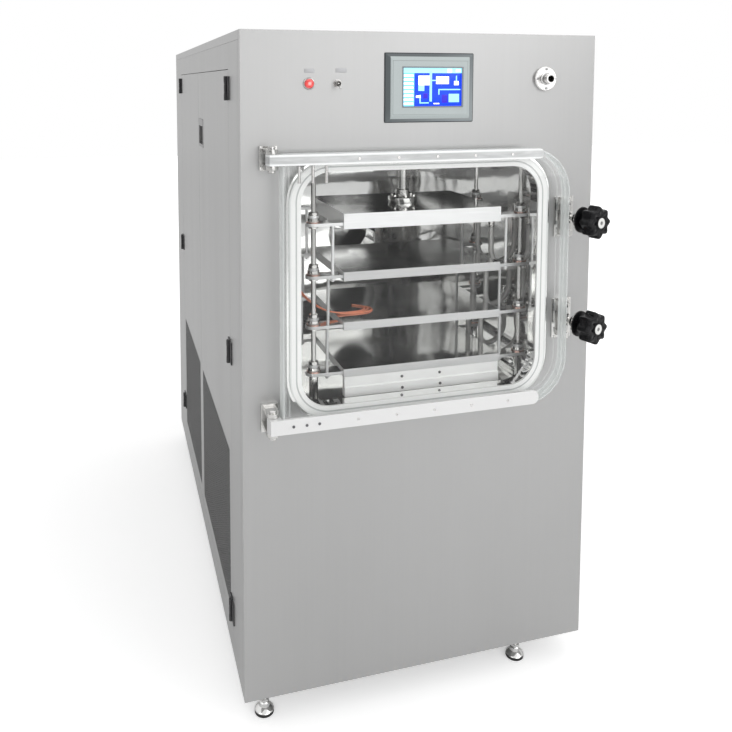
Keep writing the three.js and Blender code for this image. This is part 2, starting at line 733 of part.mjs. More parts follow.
// Bolt along -Y from its eye.
function swingBolt() {
  const shank = rodY(BOLT_R, 0, 0, -BOLT_L, -EYE_R + 2, 10);
  const eye = rodZ(EYE_R, 0, 0, -EYE_W / 2, EYE_W / 2, 16);
  return cut(join(eye, shank), rodZ(CLAMP_PIN_R + RUN, 0, 0, -EYE_W, EYE_W));
}

function starOutline() {
  const points = [];
  const steps = STAR_LOBES * 5;
  for (let i = 0; i < steps; i += 1) {
    const angle = (2 * Math.PI * i) / steps;
    const radius = STAR_R - (STAR_DIP / 2) * (1 - Math.cos(STAR_LOBES * angle));
    points.push([radius * Math.cos(angle), radius * Math.sin(angle)]);
  }
  return polygon(points);
}

// Star knob with its pressure washer, on the same axis as the bolt.
function starKnob() {
  const star = prismY(starOutline(), -STAR_START - STAR_T + STAR_BEVEL, -STAR_START - STAR_BEVEL, {
    bevelEnabled: true,
    bevelSegments: 1,
    bevelSize: STAR_BEVEL,
    bevelThickness: STAR_BEVEL,
    bevelOffset: -STAR_BEVEL,
  });
  const core = turnedOut([
    [0, KNOB_START],
    [WASHER_R, KNOB_START],
    [WASHER_R, KNOB_START + WASHER_T - 2],
    [WASHER_R - 2, KNOB_START + WASHER_T],
    [HUB_R, KNOB_START + WASHER_T + 2],
    [HUB_R + 3, STAR_START + 8],
    [HUB_R - 3, STAR_START + STAR_T - 4],
    [HUB_R - 4, STAR_START + STAR_T + 2],
    [0, STAR_START + STAR_T + 2],
  ], 0, 0, 12);
  return cut(join(star, core), rodY(BOLT_R + RUN, 0, 0, -BOLT_L - 1, -KNOB_START + 1, 10));
}

CLAMP_NAMES.forEach((name, i) => {
  const place = [CLAMP_X, -CLAMP_OUT, MOUTH_Z + CLAMP_UP[i]];
  add(`clamp_bracket_${name}`, clampBracket(), brightSteel()).position.set(...place);
  const swing = new THREE.Group();
  swing.position.set(...place);
  swing.rotation.z = rad(CLAMP_SPLAY);
  group.add(swing);
  add(`swing_bolt_${name}`, swingBolt(), brightSteel(), swing);
  add(`star_knob_${name}`, starKnob(), blackPlastic(), swing);
});

// ---------------------------------------------------------------- shelf stack

// Where the hanging bolts of shelf i stand: two on each side, stepped over from shelf to shelf.
function hangers(i) {
  const shift = -HANGER_STEP * i;
  const stagger = i % 2 ? HANGER_STAGGER : -HANGER_STAGGER;
  const xs = [shelf.x0 - HANGER_OUT + shift, shelf.x1 + HANGER_OUT + 1 + shift];
  return xs.flatMap((x) => ROD_YS.map((y) => [x, y + stagger]));
}

function hosesOf(i) {
  return [i, i + 3].map((row) => HOSE_FIRST_Y + HOSE_PITCH * row);
}

function earShape(side, y) {
  const rodAt = side < 0 ? ROD_XS[0] : ROD_XS[1];
  const edge = side < 0 ? shelf.x0 + 6 : shelf.x1 - 6;
  const half = EAR_W / 2;
  const shape = new THREE.Shape();
  if (side < 0) {
    shape.moveTo(edge, y + half);
    shape.lineTo(rodAt, y + half);
    shape.absarc(rodAt, y, half, Math.PI / 2, 1.5 * Math.PI);
    shape.lineTo(edge, y - half);
  } else {
    shape.moveTo(edge, y - half);
    shape.lineTo(rodAt, y - half);
    shape.absarc(rodAt, y, half, -Math.PI / 2, Math.PI / 2);
    shape.lineTo(edge, y + half);
  }
  return shape;
}

// A shelf with four guided ears, its hose ports and the bolts that the next shelf hangs on.
function shelfPiece(i) {
  const z0 = SHELF_Z[i];
  const z1 = z0 + SHELF_T[i];
  const ear = z0 + EAR_LIFT[i];
  const last = i === SHELF_NAMES.length - 1;
  const pieces = [block(shelf.x0, shelf.x1, shelf.y0, shelf.y1, z0, z1)];
  for (const [x, y] of RODS) {
    pieces.push(prismZ(earShape(Math.sign(x - SHELF_X), y), ear, ear + EAR_T));
    pieces.push(rodZ(BUSH_R, x, y, ear + 1, ear + BUSH_H, 10));
  }
  if (!last) {
    const nextEar = SHELF_Z[i + 1] + EAR_LIFT[i + 1];
    for (const [x, y] of hangers(i)) {
      pieces.push(rodZ(HANGER_R, x, y, nextEar - NUT_H - 4, ear + 1, 8));
      pieces.push(rodZ(NUT_R, x, y, nextEar - GAP - NUT_H, nextEar - GAP, 6));
    }
    for (const y of hosesOf(i)) {
      pieces.push(block(shelf.x1 - 2, HOSE_SHELF_X + FITTING_R + 1, y - 9, y + 9, z0 + 1, z0 + 19));
      pieces.push(rodZ(FITTING_R, HOSE_SHELF_X, y, z0 - FITTING_L, z0 + 2, 8));
    }
  }
  const holes = RODS.map(([x, y]) => rodZ(ROD_R + RUN, x, y, ear - 1, ear + BUSH_H + 1));
  if (i > 0) holes.push(...hangers(i - 1).map(([x, y]) => rodZ(HANGER_R + RUN, x, y, ear - 2, ear + EAR_T + 2, 8)));
  return cut(join(...pieces), ...holes);
}

// Guide rod with the sleeve that the bottom shelf's ear stands on.
function guideRod() {
  const floor = vesselIn.z0 + GAP;
  const roof = vesselIn.z1 - GAP;
  const seat = SHELF_Z[3] + EAR_LIFT[3] - GAP;
  return turned([
    [0, floor],
    [ROD_R + 11, floor],
    [ROD_R + 11, floor + 8],
    [ROD_R + 5, floor + 8],
    [ROD_R + 5, seat],
    [ROD_R, seat],
    [ROD_R, roof - 8],
    [ROD_R + 7, roof - 8],
    [ROD_R + 7, roof],
    [0, roof],
  ], 10);
}

const press = new THREE.Group();
group.add(press);
const parents = [press, new THREE.Group(), new THREE.Group(), group];
group.add(parents[1], parents[2]);
SHELF_NAMES.forEach((name, i) => add(name, shelfPiece(i), polishedSteel(), parents[i]));
RODS.forEach(([x, y], i) => add(`guide_rod_${ROD_NAMES[i]}`, guideRod(), brightSteel()).position.set(x, y, 0));

// Two-step rail fixed under the front edge of the bottom shelf.
function trayRail() {
  const z1 = SHELF_Z[3] - GAP;
  const y0 = shelf.y0;
  const mid = z1 - RAIL_H / 2;
  const profile = polygon([
    [y0, z1],
    [y0, mid + 1.5],
    [y0 + 1.5, mid],
    [y0 - RAIL_STEP, mid - 1.5],
    [y0 - RAIL_STEP, z1 - RAIL_H],
    [y0 + RAIL_T, z1 - RAIL_H],
    [y0 + RAIL_T, z1],
  ]);
  return prismX(profile, shelf.x0 + RAIL_SHORT, shelf.x1 - RAIL_SHORT);
}

add('tray_rail', trayRail(), paint(0xe9eae8, 0.4, 0.2));

function pressRam() {
  const z = PLATE_TOP + GAP;
  return turned([
    [0, z],
    [RAM_DISC_R, z],
    [RAM_DISC_R, z + RAM_DISC_T - 3],
    [RAM_DISC_R - 3, z + RAM_DISC_T],
    [RAM_BOSS_R, z + RAM_DISC_T],
    [RAM_BOSS_R, z + RAM_DISC_T + RAM_BOSS_H],
    [RAM_R, z + RAM_DISC_T + RAM_BOSS_H],
    [RAM_R, z + RAM_L],
    [0, z + RAM_L],
  ], 16).translate(SHELF_X, SHELF_Y, 0);
}

// Cylinder on the chamber's roof, bored for the ram.
function pressCylinder() {
  const z = vesselOut.z1 + GAP;
  const top = ROOF_Z - PRESS_UNDER_ROOF;
  const bore = RAM_R + RUN;
  const boreTop = PLATE_TOP + RAM_L + 6;
  return turned([
    [bore, z],
    [PRESS_R + 12, z],
    [PRESS_R + 12, z + 12],
    [PRESS_R, z + 14],
    [PRESS_R, top - 16],
    [PRESS_R + 6, top - 14],
    [PRESS_R + 6, top],
    [0, top],
    [0, boreTop],
    [bore, boreTop],
    [bore, z],
  ], 16).translate(SHELF_X, SHELF_Y, 0);
}

add('press_ram', pressRam(), brightSteel(), press);
add('press_cylinder', pressCylinder(), frameSteel());

// ---------------------------------------------------------------- hoses and probe lead

function wallPort(i) {
  return SHELF_Z[i] + 10;
}

// Distribution plate on the chamber's wall, with an elbow for each hose.
function hoseManifold() {
  const x1 = vesselIn.x1 - GAP;
  const lastY = HOSE_FIRST_Y + HOSE_PITCH * (HOSE_COUNT - 1);
  const plate = block(x1 - 6, x1, HOSE_FIRST_Y - 16, lastY + 16, wallPort(2) - 30, wallPort(0) + 30);
  const elbows = [0, 1, 2].flatMap((i) => hosesOf(i).flatMap((y) => [
    rodX(FITTING_R, y, wallPort(i), HOSE_WALL_X, x1 - 3),
    rodZ(FITTING_R, HOSE_WALL_X, y, wallPort(i) - FITTING_L - 10, wallPort(i) + FITTING_R, 8),
  ]));
  return join(plate, ...elbows);
}

function tube(curve, radius, sides, steps) {
  const section = polygon(Array.from({ length: sides }, (_, i) => {
    const angle = (2 * Math.PI * i) / sides;
    return [radius * Math.cos(angle), radius * Math.sin(angle)];
  }));
  return new THREE.ExtrudeGeometry(section, { steps, bevelEnabled: false, extrudePath: curve });
}

// Hanging loop from the wall port of shelf i down and up to the shelf's own port.
function hose(i, y) {
  const top = wallPort(i) - FITTING_L - 10 - GAP;
  const end = SHELF_Z[i] - FITTING_L - GAP;
  const centre = end - HOSE_DROP;
  const points = [[HOSE_WALL_X, top], [HOSE_WALL_X, (top + centre) / 2]];
  for (let k = 0; k <= 6; k += 1) {
    const angle = (Math.PI * k) / 6;
    const x = HOSE_SHELF_X + HOSE_LOOP + HOSE_LOOP * Math.cos(angle);
    points.push([x, centre - HOSE_LOOP * Math.sin(angle)]);
  }
  points.push([HOSE_SHELF_X, (end + centre) / 2], [HOSE_SHELF_X, end]);
  const curve = new THREE.CatmullRomCurve3(points.map(([x, z]) => new THREE.Vector3(x, y, z)));
  return tube(curve, HOSE_R, 8, 12);
}

add('hose_manifold', hoseManifold(), brightSteel());
[0, 1, 2].forEach((i) => {
  hosesOf(i).forEach((y, k) => {
    add(`hose_shelf_${i + 1}_${k ? 'return' : 'supply'}`, hose(i, y), paint(0xa9aaa8, 0.5, 0.7));
  });
});

// Temperature probe's lead, from the wall down on to the third shelf.
const PROBE_R = 1.5;
const PROBE_ROUTE = [
  [-359.4, 150, 1000],
  [-335, 150, 997],
  [-300, 146, 965],
  [-262, 134, 920],
  [-222, 122, 893],
  [-185, 114, 884.5],
  [-150, 112, 883],
  [-118, 118, 883],
  [-101, 136, 883],
  [-106, 156, 883],
  [-122, 170, 883],
];
const probeCurve = new THREE.CatmullRomCurve3(PROBE_ROUTE.map(([x, y, z]) => new THREE.Vector3(x, y, z)));
add('probe_lead', tube(probeCurve, PROBE_R, 8, 20), paint(0xd9502e, 0.5, 0));

// ---------------------------------------------------------------- controls on the front panel

// Frustum with its large end on the panel, y = back, and its small end at y = front.
function frustum(rect, slope, front, back) {
  const ring = (by, y) => [
    [rect.x0 + by, y, rect.z0 + by],
    [rect.x1 - by, y, rect.z0 + by],
    [rect.x1 - by, y, rect.z1 - by],
    [rect.x0 + by, y, rect.z1 - by],
  ];
  const positions = [...ring(slope, front), ...ring(0, back)].flat();
  const faces = [0, 1, 2, 0, 2, 3, 4, 6, 5, 4, 7, 6];
  for (let k = 0; k < 4; k += 1) {
    const next = (k + 1) % 4;
    faces.push(k, 4 + k, 4 + next, k, 4 + next, next);
  }
  const geometry = new THREE.BufferGeometry();
  geometry.setAttribute('position', new THREE.Float32BufferAttribute(positions, 3));
  geometry.setIndex(faces);
  return geometry;
}

function hmiBezel() {
  const face = rectAt(HMI_X, HMI_Z, HMI_W, HMI_H, 0);
  const rim = block(face.x0, face.x1, -3, -GAP, face.z0, face.z1);
  const back = block(face.x0 + 5, face.x1 - 5, -1, 34, face.z0 + 5, face.z1 - 5);
  const window0 = rectAt(SCREEN_X, SCREEN_Z, SCREEN_W, SCREEN_H, 0);
  return cut(
    join(frustum(face, HMI_SLOPE, -HMI_OUT, -2.9), rim, back),
    frustum(grown(window0, 3), 0, -HMI_OUT - 1, -HMI_OUT + 1.5),
    block(window0.x0, window0.x1, -HMI_OUT, -HMI_OUT + SCREEN_IN + 2, window0.z0, window0.z1),
  );
}

function hmiScreen() {
  const s = grown(rectAt(SCREEN_X, SCREEN_Z, SCREEN_W, SCREEN_H, 0), -GAP);
  const back = -HMI_OUT + SCREEN_IN + 2 - GAP;
  return block(s.x0, s.x1, back - 2, back, s.z0, s.z1);
}

function lamp() {
  return turnedOut([
    [0, -26],
    [LAMP_R - 3, -26],
    [LAMP_R - 3, GAP],
    [LAMP_R, GAP],
    [LAMP_R, 4],
    [LAMP_R - 1.5, 5.5],
    [LAMP_R - 3, 5.5],
    [LAMP_R - 3.5, 9],
    [LAMP_R - 6.5, 11.5],
    [0, 12.5],
  ], LAMP_X, CONTROL_Z, 16);
}

const TOGGLE_PIVOT = 8; // ball's centre, out of the panel
const BALL_R = 4;

function toggleBushing() {
  return turnedOut([
    [0, -20],
    [TOGGLE_R - 1, -20],
    [TOGGLE_R - 1, GAP],
    [TOGGLE_R + 2.5, GAP],
    [TOGGLE_R + 2.5, 3],
    [TOGGLE_R, 3.5],
    [TOGGLE_R, 12],
    [BALL_R + 1.4, 12],
    [BALL_R + RUN, 9],
    [BALL_R + RUN, 2],
    [0, 2],
  ], TOGGLE_X, CONTROL_Z, 12);
}

// Lever straight out of the pivot, before it is tilted.
function toggleLever() {
  return turnedOut([
    [0, -BALL_R],
    [BALL_R * 0.7, -BALL_R * 0.7],
    [BALL_R, 0],
    [BALL_R * 0.7, BALL_R * 0.7],
    [1.7, BALL_R],
    [2.9, 19],
    [2, 21.5],
    [0, 22],
  ], 0, 0, 10);
}

function ventPort() {
  return cut(
    turnedOut([
      [0, -38],
      [PORT_R, -38],
      [PORT_R, GAP],
      [PORT_FLANGE_R, GAP],
      [PORT_FLANGE_R, 7],
      [PORT_FLANGE_R - 2, 9],
      [PORT_R + 3, 9],
      [PORT_R, 12],
      [PORT_R, PORT_OUT],
      [0, PORT_OUT],
    ], PORT_X, PORT_Z, 20),
    rodY(PORT_BORE, PORT_X, PORT_Z, -PORT_OUT - 1, 39, 12),
  );
}

add('hmi_bezel', hmiBezel(), paint(0xaab0b6, 0.4, 0.1));
add('hmi_screen', hmiScreen(), paint(0x2f62a8, 0.15, 0, { emissive: 0x1c4684 }));
add('indicator_lamp', lamp(), paint(0xc2201c, 0.25, 0));
add('toggle_bushing', toggleBushing(), paint(0x55575a, 0.35, 0.8));
const toggle = new THREE.Group();
toggle.position.set(TOGGLE_X, -TOGGLE_PIVOT, CONTROL_Z);
toggle.rotation.x = rad(TOGGLE_TILT);
group.add(toggle);
add('toggle_lever', toggleLever(), brightSteel(), toggle);
add('vent_port', ventPort(), brightSteel());

// ---------------------------------------------------------------- machine room

// Cold trap: a drum with dished ends, open to the chamber through its neck.
function coldTrap() {
  const y0 = NECK_END + GAP;
  const front = y0 + 46;
  const back = front + TRAP_L;
  const w = VESSEL_WALL;
  const profile = [
    [0, back + 40],
    [TRAP_R * 0.55, back + 30],
    [TRAP_R, back],
    [TRAP_R, front],
    [NECK_R + 20, front - 18],
    [NECK_R, front - 18],
    [NECK_R, y0 + 8],
    [NECK_FLANGE_R, y0 + 8],
    [NECK_FLANGE_R, y0],
    [NECK_BORE, y0],
    [NECK_BORE, front - 18 + w],
    [NECK_R + 18, front - 18 + w],
    [TRAP_R - w, front + w / 2],
    [TRAP_R - w, back],
    [TRAP_R * 0.55 - w, back + 30 - w],
    [0, back + 40 - w],
  ];
  return turnedOut(profile.map(([r, y]) => [r, -y]), VESSEL_X, MOUTH_Z, 16);
}

// Hermetic compressor on a mounting plate with four rubber feet.
function compressor() {
  const z = BEAM + PAN + GAP;
  const [x, y] = COMPRESSOR_AT;
  const r = COMPRESSOR_R;
  const pot = turned([
    [0, z + 18],
    [r * 0.8, z + 20],
    [r, z + 45],
    [r, z + COMPRESSOR_H - 50],
    [r * 0.8, z + COMPRESSOR_H - 15],
    [0, z + COMPRESSOR_H],
  ], 16).translate(x, y, 0);
  const plate = block(x - r, x + r, y - r, y + r, z + 14, z + 20);
  const pads = [-1, 1].flatMap((a) => [-1, 1].map(
    (b) => rodZ(16, x + a * (r - 20), y + b * (r - 20), z, z + 15, 12),
  ));
  return join(pot, plate, ...pads);
}

// Finned condenser block standing on the pan behind the rear door's grille.
function condenser() {
  const z = BEAM + PAN + GAP;
  const x0 = -HALF_W + RETURN + SIDE_DOOR_T + 20;
  const y0 = CONDENSER_Y;
  const pitch = CONDENSER_L / CONDENSER_FINS;
  const comb = [[x0 + 45, y0], [x0 + 45, y0 + CONDENSER_L]];
  for (let k = CONDENSER_FINS - 1; k >= 0; k -= 1) {
    const at = y0 + pitch * k;
    comb.push([x0 + 22, at + pitch], [x0 + 22, at + 0.4 * pitch], [x0, at + 0.4 * pitch], [x0, at]);
  }
  return prismZ(polygon(comb), z, z + CONDENSER_H);
}

add('cold_trap', coldTrap(), polishedSteel());
add('compressor', compressor(), paint(0x222428, 0.5, 0.3));
add('condenser', condenser(), paint(0x9a9da0, 0.5, 0.8));

// ---------------------------------------------------------------- origin

const bounds = new THREE.Box3().setFromObject(group, true);
const middle = bounds.getCenter(new THREE.Vector3());
group.position.set(-middle.x, -middle.y, -bounds.min.z);
group.updateMatrixWorld(true);

export default group;
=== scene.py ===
"""Looks of the freeze dryer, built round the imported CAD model.

Shapes are worked out in casing millimetres (x = 0 in the middle of the casing, y = 0 on the outer face of the
front panel, z = 0 on the casing's underside) and put into the meshes in metres, in the CAD's own frame.
"""

import json
import math

import bpy
import numpy as np
from bpy.props import FloatProperty, FloatVectorProperty, IntProperty, PointerProperty
from bpy.types import Operator, Panel, PropertyGroup
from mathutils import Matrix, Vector


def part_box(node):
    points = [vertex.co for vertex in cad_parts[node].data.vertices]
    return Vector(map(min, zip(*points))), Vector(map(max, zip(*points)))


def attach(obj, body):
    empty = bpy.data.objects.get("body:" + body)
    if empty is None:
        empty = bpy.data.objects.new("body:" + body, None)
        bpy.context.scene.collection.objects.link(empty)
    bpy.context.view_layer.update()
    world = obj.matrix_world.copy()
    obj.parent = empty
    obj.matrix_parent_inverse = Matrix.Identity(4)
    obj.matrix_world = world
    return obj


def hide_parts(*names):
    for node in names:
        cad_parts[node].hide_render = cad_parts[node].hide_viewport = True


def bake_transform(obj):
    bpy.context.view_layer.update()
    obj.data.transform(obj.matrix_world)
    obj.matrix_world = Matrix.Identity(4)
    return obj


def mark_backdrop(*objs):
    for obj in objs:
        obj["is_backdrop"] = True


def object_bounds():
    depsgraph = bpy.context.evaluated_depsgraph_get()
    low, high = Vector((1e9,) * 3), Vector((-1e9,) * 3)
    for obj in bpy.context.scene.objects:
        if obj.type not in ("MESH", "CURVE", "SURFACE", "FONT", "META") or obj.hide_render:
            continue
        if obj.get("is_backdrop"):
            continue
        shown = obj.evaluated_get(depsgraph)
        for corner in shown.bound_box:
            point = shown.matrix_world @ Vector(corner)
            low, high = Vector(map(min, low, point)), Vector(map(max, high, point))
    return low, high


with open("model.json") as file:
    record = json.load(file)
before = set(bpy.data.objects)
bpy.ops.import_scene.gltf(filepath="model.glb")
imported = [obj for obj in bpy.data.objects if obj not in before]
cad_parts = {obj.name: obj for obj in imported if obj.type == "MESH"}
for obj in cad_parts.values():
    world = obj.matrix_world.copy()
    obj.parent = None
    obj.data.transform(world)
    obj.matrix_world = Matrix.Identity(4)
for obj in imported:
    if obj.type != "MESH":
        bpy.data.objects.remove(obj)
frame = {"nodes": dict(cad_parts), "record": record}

bl_info = {
    "name": "Freeze dryer looks",
    "version": (1, 0, 0),
    "blender": (4, 5, 0),
    "location": "3D View > Sidebar > Freeze dryer",
    "description": "Builds the finishes and fine pieces of a floor-standing freeze dryer",
    "category": "Object",
}

MM = 0.001
OUT, UP = (0, -1, 0), (0, 0, 1)  # out of the front, and up
SWING_X, SWING_Y = 370, -18  # pivot of the clamps' bolts, casing millimetres
HINGE_X, HINGE_Y = -388, -45  # axis of the chamber door
PORT_X, PORT_Z = 309, 1467  # middle of the vent port
PRESS_X, PRESS_Y = 14, 195  # axis of the press ram
NODES = frame["nodes"]
PANEL_LOW, PANEL_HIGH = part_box("front_panel")
ORIGIN = np.array([(PANEL_LOW.x + PANEL_HIGH.x) / 2, PANEL_LOW.y, PANEL_LOW.z])


def box_mm(node):
    """Lowest and highest corner of a CAD node, in casing millimetres."""
    low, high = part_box(node)
    return (np.array(low) - ORIGIN) / MM, (np.array(high) - ORIGIN) / MM


def metres(mm):
    """Casing millimetres as metres in the row frame."""
    return ORIGIN + np.asarray(mm, float) * MM


# ---------------------------------------------------------------- surfaces

def unit(v):
    v = np.asarray(v, float)
    return v / np.linalg.norm(v, axis=-1, keepdims=True)


def axes_for(direction):
    """Two unit vectors square to a direction, right-handed with it."""
    d = unit(direction)
    side = np.array([1.0, 0, 0]) if abs(d[0]) < 0.9 else np.array([0, 1.0, 0])
    a = unit(np.cross(side, d))
    return a, np.cross(d, a), d


def turn_z(degrees, pivot):
    """Rotation about the vertical through pivot, as a function of points."""
    c, s = math.cos(math.radians(degrees)), math.sin(math.radians(degrees))
    m = np.array([[c, -s, 0], [s, c, 0], [0, 0, 1]])
    return lambda p: p @ m.T + np.asarray(pivot, float)


def rounded_rect(x0, x1, z0, z1, r, steps=10):
    """Closed outline: four straight sides joined by quarter circles, counter-clockwise in the (x, z) plane.
    r is one radius, or four from the lower left round."""
    r = np.broadcast_to(np.asarray(r, float), (4,)).clip(1e-3)
    centres = [(x0 + r[0], z0 + r[0]), (x1 - r[1], z0 + r[1]), (x1 - r[2], z1 - r[2]), (x0 + r[3], z1 - r[3])]
    t = np.linspace(0, math.pi / 2, steps)
    arcs = [np.stack([cx + q * np.cos(t + a), cz + q * np.sin(t + a)], 1)
            for (cx, cz), q, a in zip(centres, r, np.array([2, 3, 0, 1]) * math.pi / 2)]
    return np.concatenate(arcs)


def circle(r, sides=32, x=0.0, z=0.0, start=0.0):
    """Regular polygon of that many sides on a circle."""
    t = start + np.linspace(0, 2 * math.pi, sides, endpoint=False)
    return np.stack([x + r * np.cos(t), z + r * np.sin(t)], 1)


def inset(outline, by):
    """Each point of a closed counter-clockwise outline moved inwards along the mean normal of its two sides."""
    before, after = unit(outline - np.roll(outline, 1, 0)), unit(np.roll(outline, -1, 0) - outline)
    mean = unit(before + after)
    inward = np.stack([-mean[:, 1], mean[:, 0]], 1)
    stretch = 1 / np.clip((before * mean).sum(1), 0.5, 1)
    return outline + inward * (by * stretch)[:, None]


def washer(inner, outer, low, high):
    """Lathe profile of a plain ring: its four corners, and the first again."""
    return [(inner, low), (outer, low), (outer, high), (inner, high), (inner, low)]


class Skin:
    """Collects grids of points in casing millimetres and makes one mesh of them."""

    def __init__(self, place=None):
        self.points, self.faces, self.slots, self.maps = [], [], [], []
        self.count, self.place = 0, place

    def grid(self, p, wrap_u=False, wrap_v=False, slot=0, along=None):
        """Quads between neighbours of p[u, v], turned outwards. Wrapping joins the last row or column to the first.
        The UV map holds the share of the way round u, and along's length at v."""
        p = np.asarray(p, float)
        if self.place:
            p = self.place(p)
        nu, nv = p.shape[:2]
        u, v = np.arange(nu if wrap_u else nu - 1), np.arange(nv if wrap_v else nv - 1)
        u0, v0 = (a.ravel() for a in np.meshgrid(u, v, indexing="ij"))
        u1, v1 = (u0 + 1) % nu, (v0 + 1) % nv
        along = np.arange(nv + 1) if along is None else np.append(along, along[-1])
        quads = np.stack([u0 * nv + v0, u1 * nv + v0, u1 * nv + v1, u0 * nv + v1], 1)
        around = np.stack([u0, u0 + 1, u0 + 1, u0], 1) / nu
        length = along[np.stack([v0, v0, v0 + 1, v0 + 1], 1)]
        return self.add(p.reshape(-1, 3), quads, slot, np.stack([around, length], 2))

    def add(self, points, quads, slot=0, uv=None):
        """Quads of one closed surface, turned over if their signed volume says that they face inwards."""
        a, b, c, d = (points[quads[:, i]] - points.mean(0) for i in range(4))
        uv = np.zeros((len(quads), 4, 2)) if uv is None else uv
        if (np.cross(b, c) * a).sum() + (np.cross(c, d) * a).sum() < 0:
            quads, uv = quads[:, ::-1], uv[:, ::-1]
        self.points.append(points)
        self.faces.append(quads + self.count)
        self.slots.append(np.full(len(quads), slot))
        self.maps.append(uv)
        self.count += len(points)
        return self

    def lathe(self, profile, origin, axis=(0, 0, 1), sides=32, slot=0):
        """Radius and height pairs, from the bottom of the axis to its top, carried round a full circle."""
        a, b, d = axes_for(axis)
        profile = np.asarray(profile, float)
        t = np.linspace(0, 2 * math.pi, sides, endpoint=False)[:, None, None]
        r, h = profile[None, :, :1], profile[None, :, 1:]
        return self.grid(np.asarray(origin, float) + r * (np.cos(t) * a + np.sin(t) * b) + h * d, wrap_u=True,
                         slot=slot)

    def tube(self, path, radius, sides=12, slot=0, caps=True):
        """A circle carried along a path, kept from twisting by turning each frame least from the one before."""
        path = np.asarray(path, float)
        radius = np.broadcast_to(np.asarray(radius, float), (len(path),)).copy()
        tangent = unit(np.gradient(path, axis=0))
        a = np.empty_like(path)
        a[0] = axes_for(tangent[0])[0]
        for i in range(1, len(path)):
            a[i] = unit(a[i - 1] - tangent[i] * (a[i - 1] @ tangent[i]))
        b = np.cross(tangent, a)
        if caps:
            path, tangent, a, b = (np.concatenate([q[:1], q, q[-1:]]) for q in (path, tangent, a, b))
            radius = np.concatenate([[0], radius, [0]])
        t = np.linspace(0, 2 * math.pi, sides, endpoint=False)[:, None, None]
        along = np.append(0, np.cumsum(np.linalg.norm(np.diff(path, axis=0), axis=1))) * MM
        return self.grid(path + radius[:, None] * (np.cos(t) * a + np.sin(t) * b), wrap_u=True, slot=slot, along=along)

    def prism(self, outline, low, high, axis="y", edge=0.5, rounds=3, slot=0, ends=(True, True)):
        """A closed outline carried along an axis from low to high, with each end drawn in round a quarter circle of
        radius edge and closed to the outline's middle. For y the outline is in (x, z), for z in (x, y) and for x
        in (y, z)."""
        t = np.linspace(0, math.pi / 2, rounds + 1)
        ins, up = edge * (1 - np.sin(t)), edge * (1 - np.cos(t))
        steps = [(i, low + u) for i, u in zip(ins, up)] if ends[0] else [(0, low)]
        steps += [(i, high - u) for i, u in zip(ins[::-1], up[::-1])] if ends[1] else [(0, high)]
        rings = [np.column_stack([inset(outline, i) if i > 1e-9 else outline, np.full(len(outline), h)]) for i,
                 h in steps]
        middle = np.tile(outline.mean(0), (len(outline), 1))
        if ends[0]:
            rings.insert(0, np.column_stack([middle, np.full(len(outline), low)]))
        if ends[1]:
            rings.append(np.column_stack([middle, np.full(len(outline), high)]))
        p = np.stack(rings, 1)
        order = {"z": (0, 1, 2), "x": (2, 0, 1), "y": (0, 2, 1)}[axis]
        return self.grid(p[..., order], wrap_u=True, slot=slot)

    def block(self, low, high, corner=1.0, axis="y", edge=0.5, slot=0, steps=5):
        """Box with its four edges along the axis rounded to corner and its end edges rounded to edge."""
        k = {"x": (1, 2, 0), "y": (0, 2, 1), "z": (0, 1, 2)}[axis]
        outline = rounded_rect(low[k[0]], high[k[0]], low[k[1]], high[k[1]], corner, steps)
        return self.prism(outline, low[k[2]], high[k[2]], axis, edge, slot=slot)

    def rings(self, rings, origin, axis, turn, slot=0):
        """Closed surface through rings about an axis, each (radius at every angle of turn, height)."""
        a, b, d = axes_for(axis)
        arm = np.cos(turn)[:, None] * a + np.sin(turn)[:, None] * b
        p = [np.asarray(origin, float) + np.broadcast_to(r, turn.shape)[:, None] * arm + h * d for r, h in rings]
        return self.grid(np.stack(p, 1), wrap_u=True, slot=slot)

    def screw(self, origin, axis, radius=3.0, height=2.4, slot=0, socket=0.5):
        """Cap screw: a short round head with a soft rim and a six-sided socket in its end."""
        t = np.linspace(0, 2 * math.pi, 24, endpoint=False)
        hexagon = socket * radius * 0.87 / np.maximum.reduce([np.abs(np.cos(t - k * math.pi / 3)) for k in range(3)])
        return self.rings([(0, 0), (radius, 0), (radius, height * 0.75), (radius * 0.9, height),
                           (hexagon * 1.1, height),
                           (hexagon, height * 0.9), (hexagon * 0.97, height * 0.4), (0, height * 0.35)], origin, axis,
                          t, slot)

    def nut(self, origin, axis, radius, height, slot=0, hole=0.0, facets=6):
        """Hexagonal nut or head: flat sides, its corners cut back by a cone at both ends."""
        t = np.linspace(0, 2 * math.pi, facets * 6, endpoint=False)
        flat = math.cos(math.pi / facets) / np.cos((t + math.pi / facets) % (2 * math.pi / facets) - math.pi / facets)
        hexagon, cone = radius * flat, radius * 0.9
        return self.rings([(hole, 0), (cone, 0), (hexagon, height * 0.12), (hexagon, height * 0.88), (cone, height),
                           (hole, height)], origin, axis, t, slot)

    def thread(self, place, core, depth, start, pitch, around, turns, sides):
        """Screw thread closed at both ends. place takes two cross coordinates and a height to a point."""
        v = np.arange(turns * around)
        u = np.linspace(0, 2 * math.pi, sides, endpoint=False)[:, None]
        r = core + depth * (0.5 + 0.5 * np.cos(2 * math.pi * (v / around - u / (2 * math.pi))))
        h = np.broadcast_to(start + v * pitch / around, r.shape)
        none = np.zeros((sides, 1))
        rows = [place(none, none, h[:, :1]), place(r * np.cos(u), r * np.sin(u), h), place(none, none, h[:, -1:])]
        return self.grid(np.concatenate([np.stack(q, 2) for q in rows], 1), wrap_u=True)

